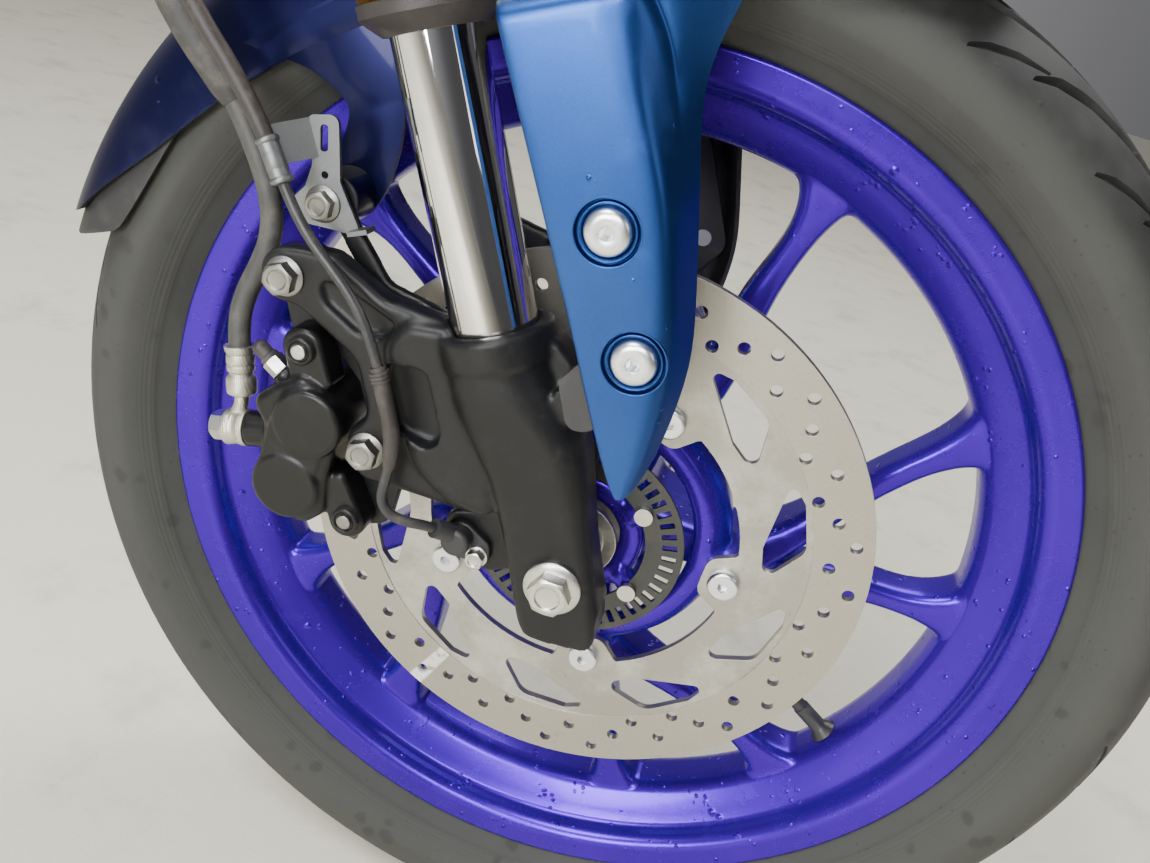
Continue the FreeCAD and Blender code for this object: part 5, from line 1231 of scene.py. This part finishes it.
boltPlaces = {
    # piece: seat in the fork's frame, way it faces, hexagon, height, flange and its lift, shank and its
    # length, finish, CAD nodes
    "upperCaliperBolt": ((-84, -104, 152), -1, 12.6, 8, 8.8, 2.2, 4.9, 21, agedZinc, ("caliper_bolts",)),
    "lowerCaliperBolt": ((-67, -104, 70.5), -1, 12.6, 8, 8.8, 2.2, 4.9, 21, agedZinc, ("caliper_bolts",)),
    "bracketBolt": ((-66, -90, 177.5), -1, 11, 6.5, 7.9, 1.9, 3.1, 18, agedZinc, ("bracket_bolt",)),
    "bracketBoltFar": ((-66, 88, 177.5), 1, 11, 6.5, 7.9, 1.9, 3.1, 16, zincBolt, ("bracket_bolt",)),
    "sensorBoltPiece": ((-31.4, -92, 8.9), -1, 8, 5.5, 5.4, 1.3, 2.9, 11, zincBolt, ("sensor_bolt",)),
}


boltSizes = {
    "nipple": (-101.2, -98, 108.7),
    "nippleTip": (-110.5, -98, 123),
    "bleedCap": [(0, 0), (4.4, 0, 0.5), (4.4, 2.4, 0.5), (3.6, 3), (3.7, 8.6, 0.8), (2.2, 10.2, 0.8), (0, 10.4)],
    "pins": {"upperPinEnd": (-85.6, -104, 119.2), "lowerPinEnd": (-86, -104, 37)},
    "pinCap": [(0, -21), (4.4, -21), (4.4, 0), (6.5, 0), (6.5, 2.8, 0.9), (4.9, 3.2, 0.3), (4.3, 2.4, 0.3),
               (0, 2.4)],
    "pinEnd": [(0, 2), (3.4, 2), (3.4, 3.9, 0.5), (0, 4)],
}


def drawPinPart(name, profile, seat, steps):
    part = drawTurned(name, profile, upright=True, steps=steps, closed=False, segments=4)
    deselect()
    part.matrix_world = facing(seat, (0, -1, 0))
    return part


def makeBolts():
    for name, (seat, side, across, height, flange, lift, shank, length, finish, nodes) in boltPlaces.items():
        bolt = drawBolt(name, across, height, flange, lift, shank, length)
        settle(bolt, forkFrame @ facing(seat, (0, side, 0)), finish, "fork", nodes, 30)
    spindle = drawBolt("axlePiece", 17.2, 10, 13.3, 3, 8.5, 199, 0.8)
    settle(spindle, wheelFrame @ facing((0, -107, 0), (0, -1, 0)), zincBolt, "fork", ("axle",), 30)
    nipple = Vector(boltSizes["nipple"])
    slope = (Vector(boltSizes["nippleTip"]) - nipple).normalized()
    hexagon = drawBolt("bleedHexagon", 9, 7.5, 5.4, 1.2, 3, 3)
    settle(hexagon, forkFrame @ facing(nipple, slope), zincBolt, "fork", ("bleed_nipple",), 30)
    cap = drawTurned("bleedCap", boltSizes["bleedCap"], upright=True, steps=40, closed=False, segments=4)
    settle(cap, forkFrame @ facing(nipple + slope * 6.8, slope), sealRubber, "fork", ("bleed_nipple",), 40)
    caps = [drawPinPart("pinCap", boltSizes["pinCap"], seat, 48) for seat in boltSizes["pins"].values()]
    ends = [drawPinPart(name, boltSizes["pinEnd"], seat, 40) for name, seat in boltSizes["pins"].items()]
    settle(joinPieces("pinCaps", caps), forkFrame, caliperBlack, "fork", ("slide_pins",), 40)
    for end, finish in zip(ends, (zincBolt, agedZinc)):
        settle(end, forkFrame, finish, "fork", ("slide_pins",), 40)


makeBolts()
makeHose()
makeCable()
print("hose, cable and bolts modelled")


# Floor

def makeFloor():
    bpy.ops.mesh.primitive_plane_add(size=30, location=(axle.x, 0, cadBounds[0].z))
    floor = bpy.context.object
    floor.name = "floor"
    finish = Finish("paleFloor")
    cloud = finish.noise(3, 7, roughness=0.6)
    speck = finish.noise(60, 6, roughness=0.7)
    stain = finish.ramp(finish.noise(9, 6, roughness=0.65), 0.5, 0.72)
    shade = finish.mix(cloud * 0.5 + speck * 0.5, (0.86, 0.82, 0.65), (1.0, 0.965, 0.8))
    shade = finish.mix(stain * 0.45, shade, (0.52, 0.49, 0.42))
    floor.data.materials.append(finish.set(Base_Color=shade, Roughness=0.8, Normal=finish.bump(speck, 0.2, 0.002)))


makeFloor()
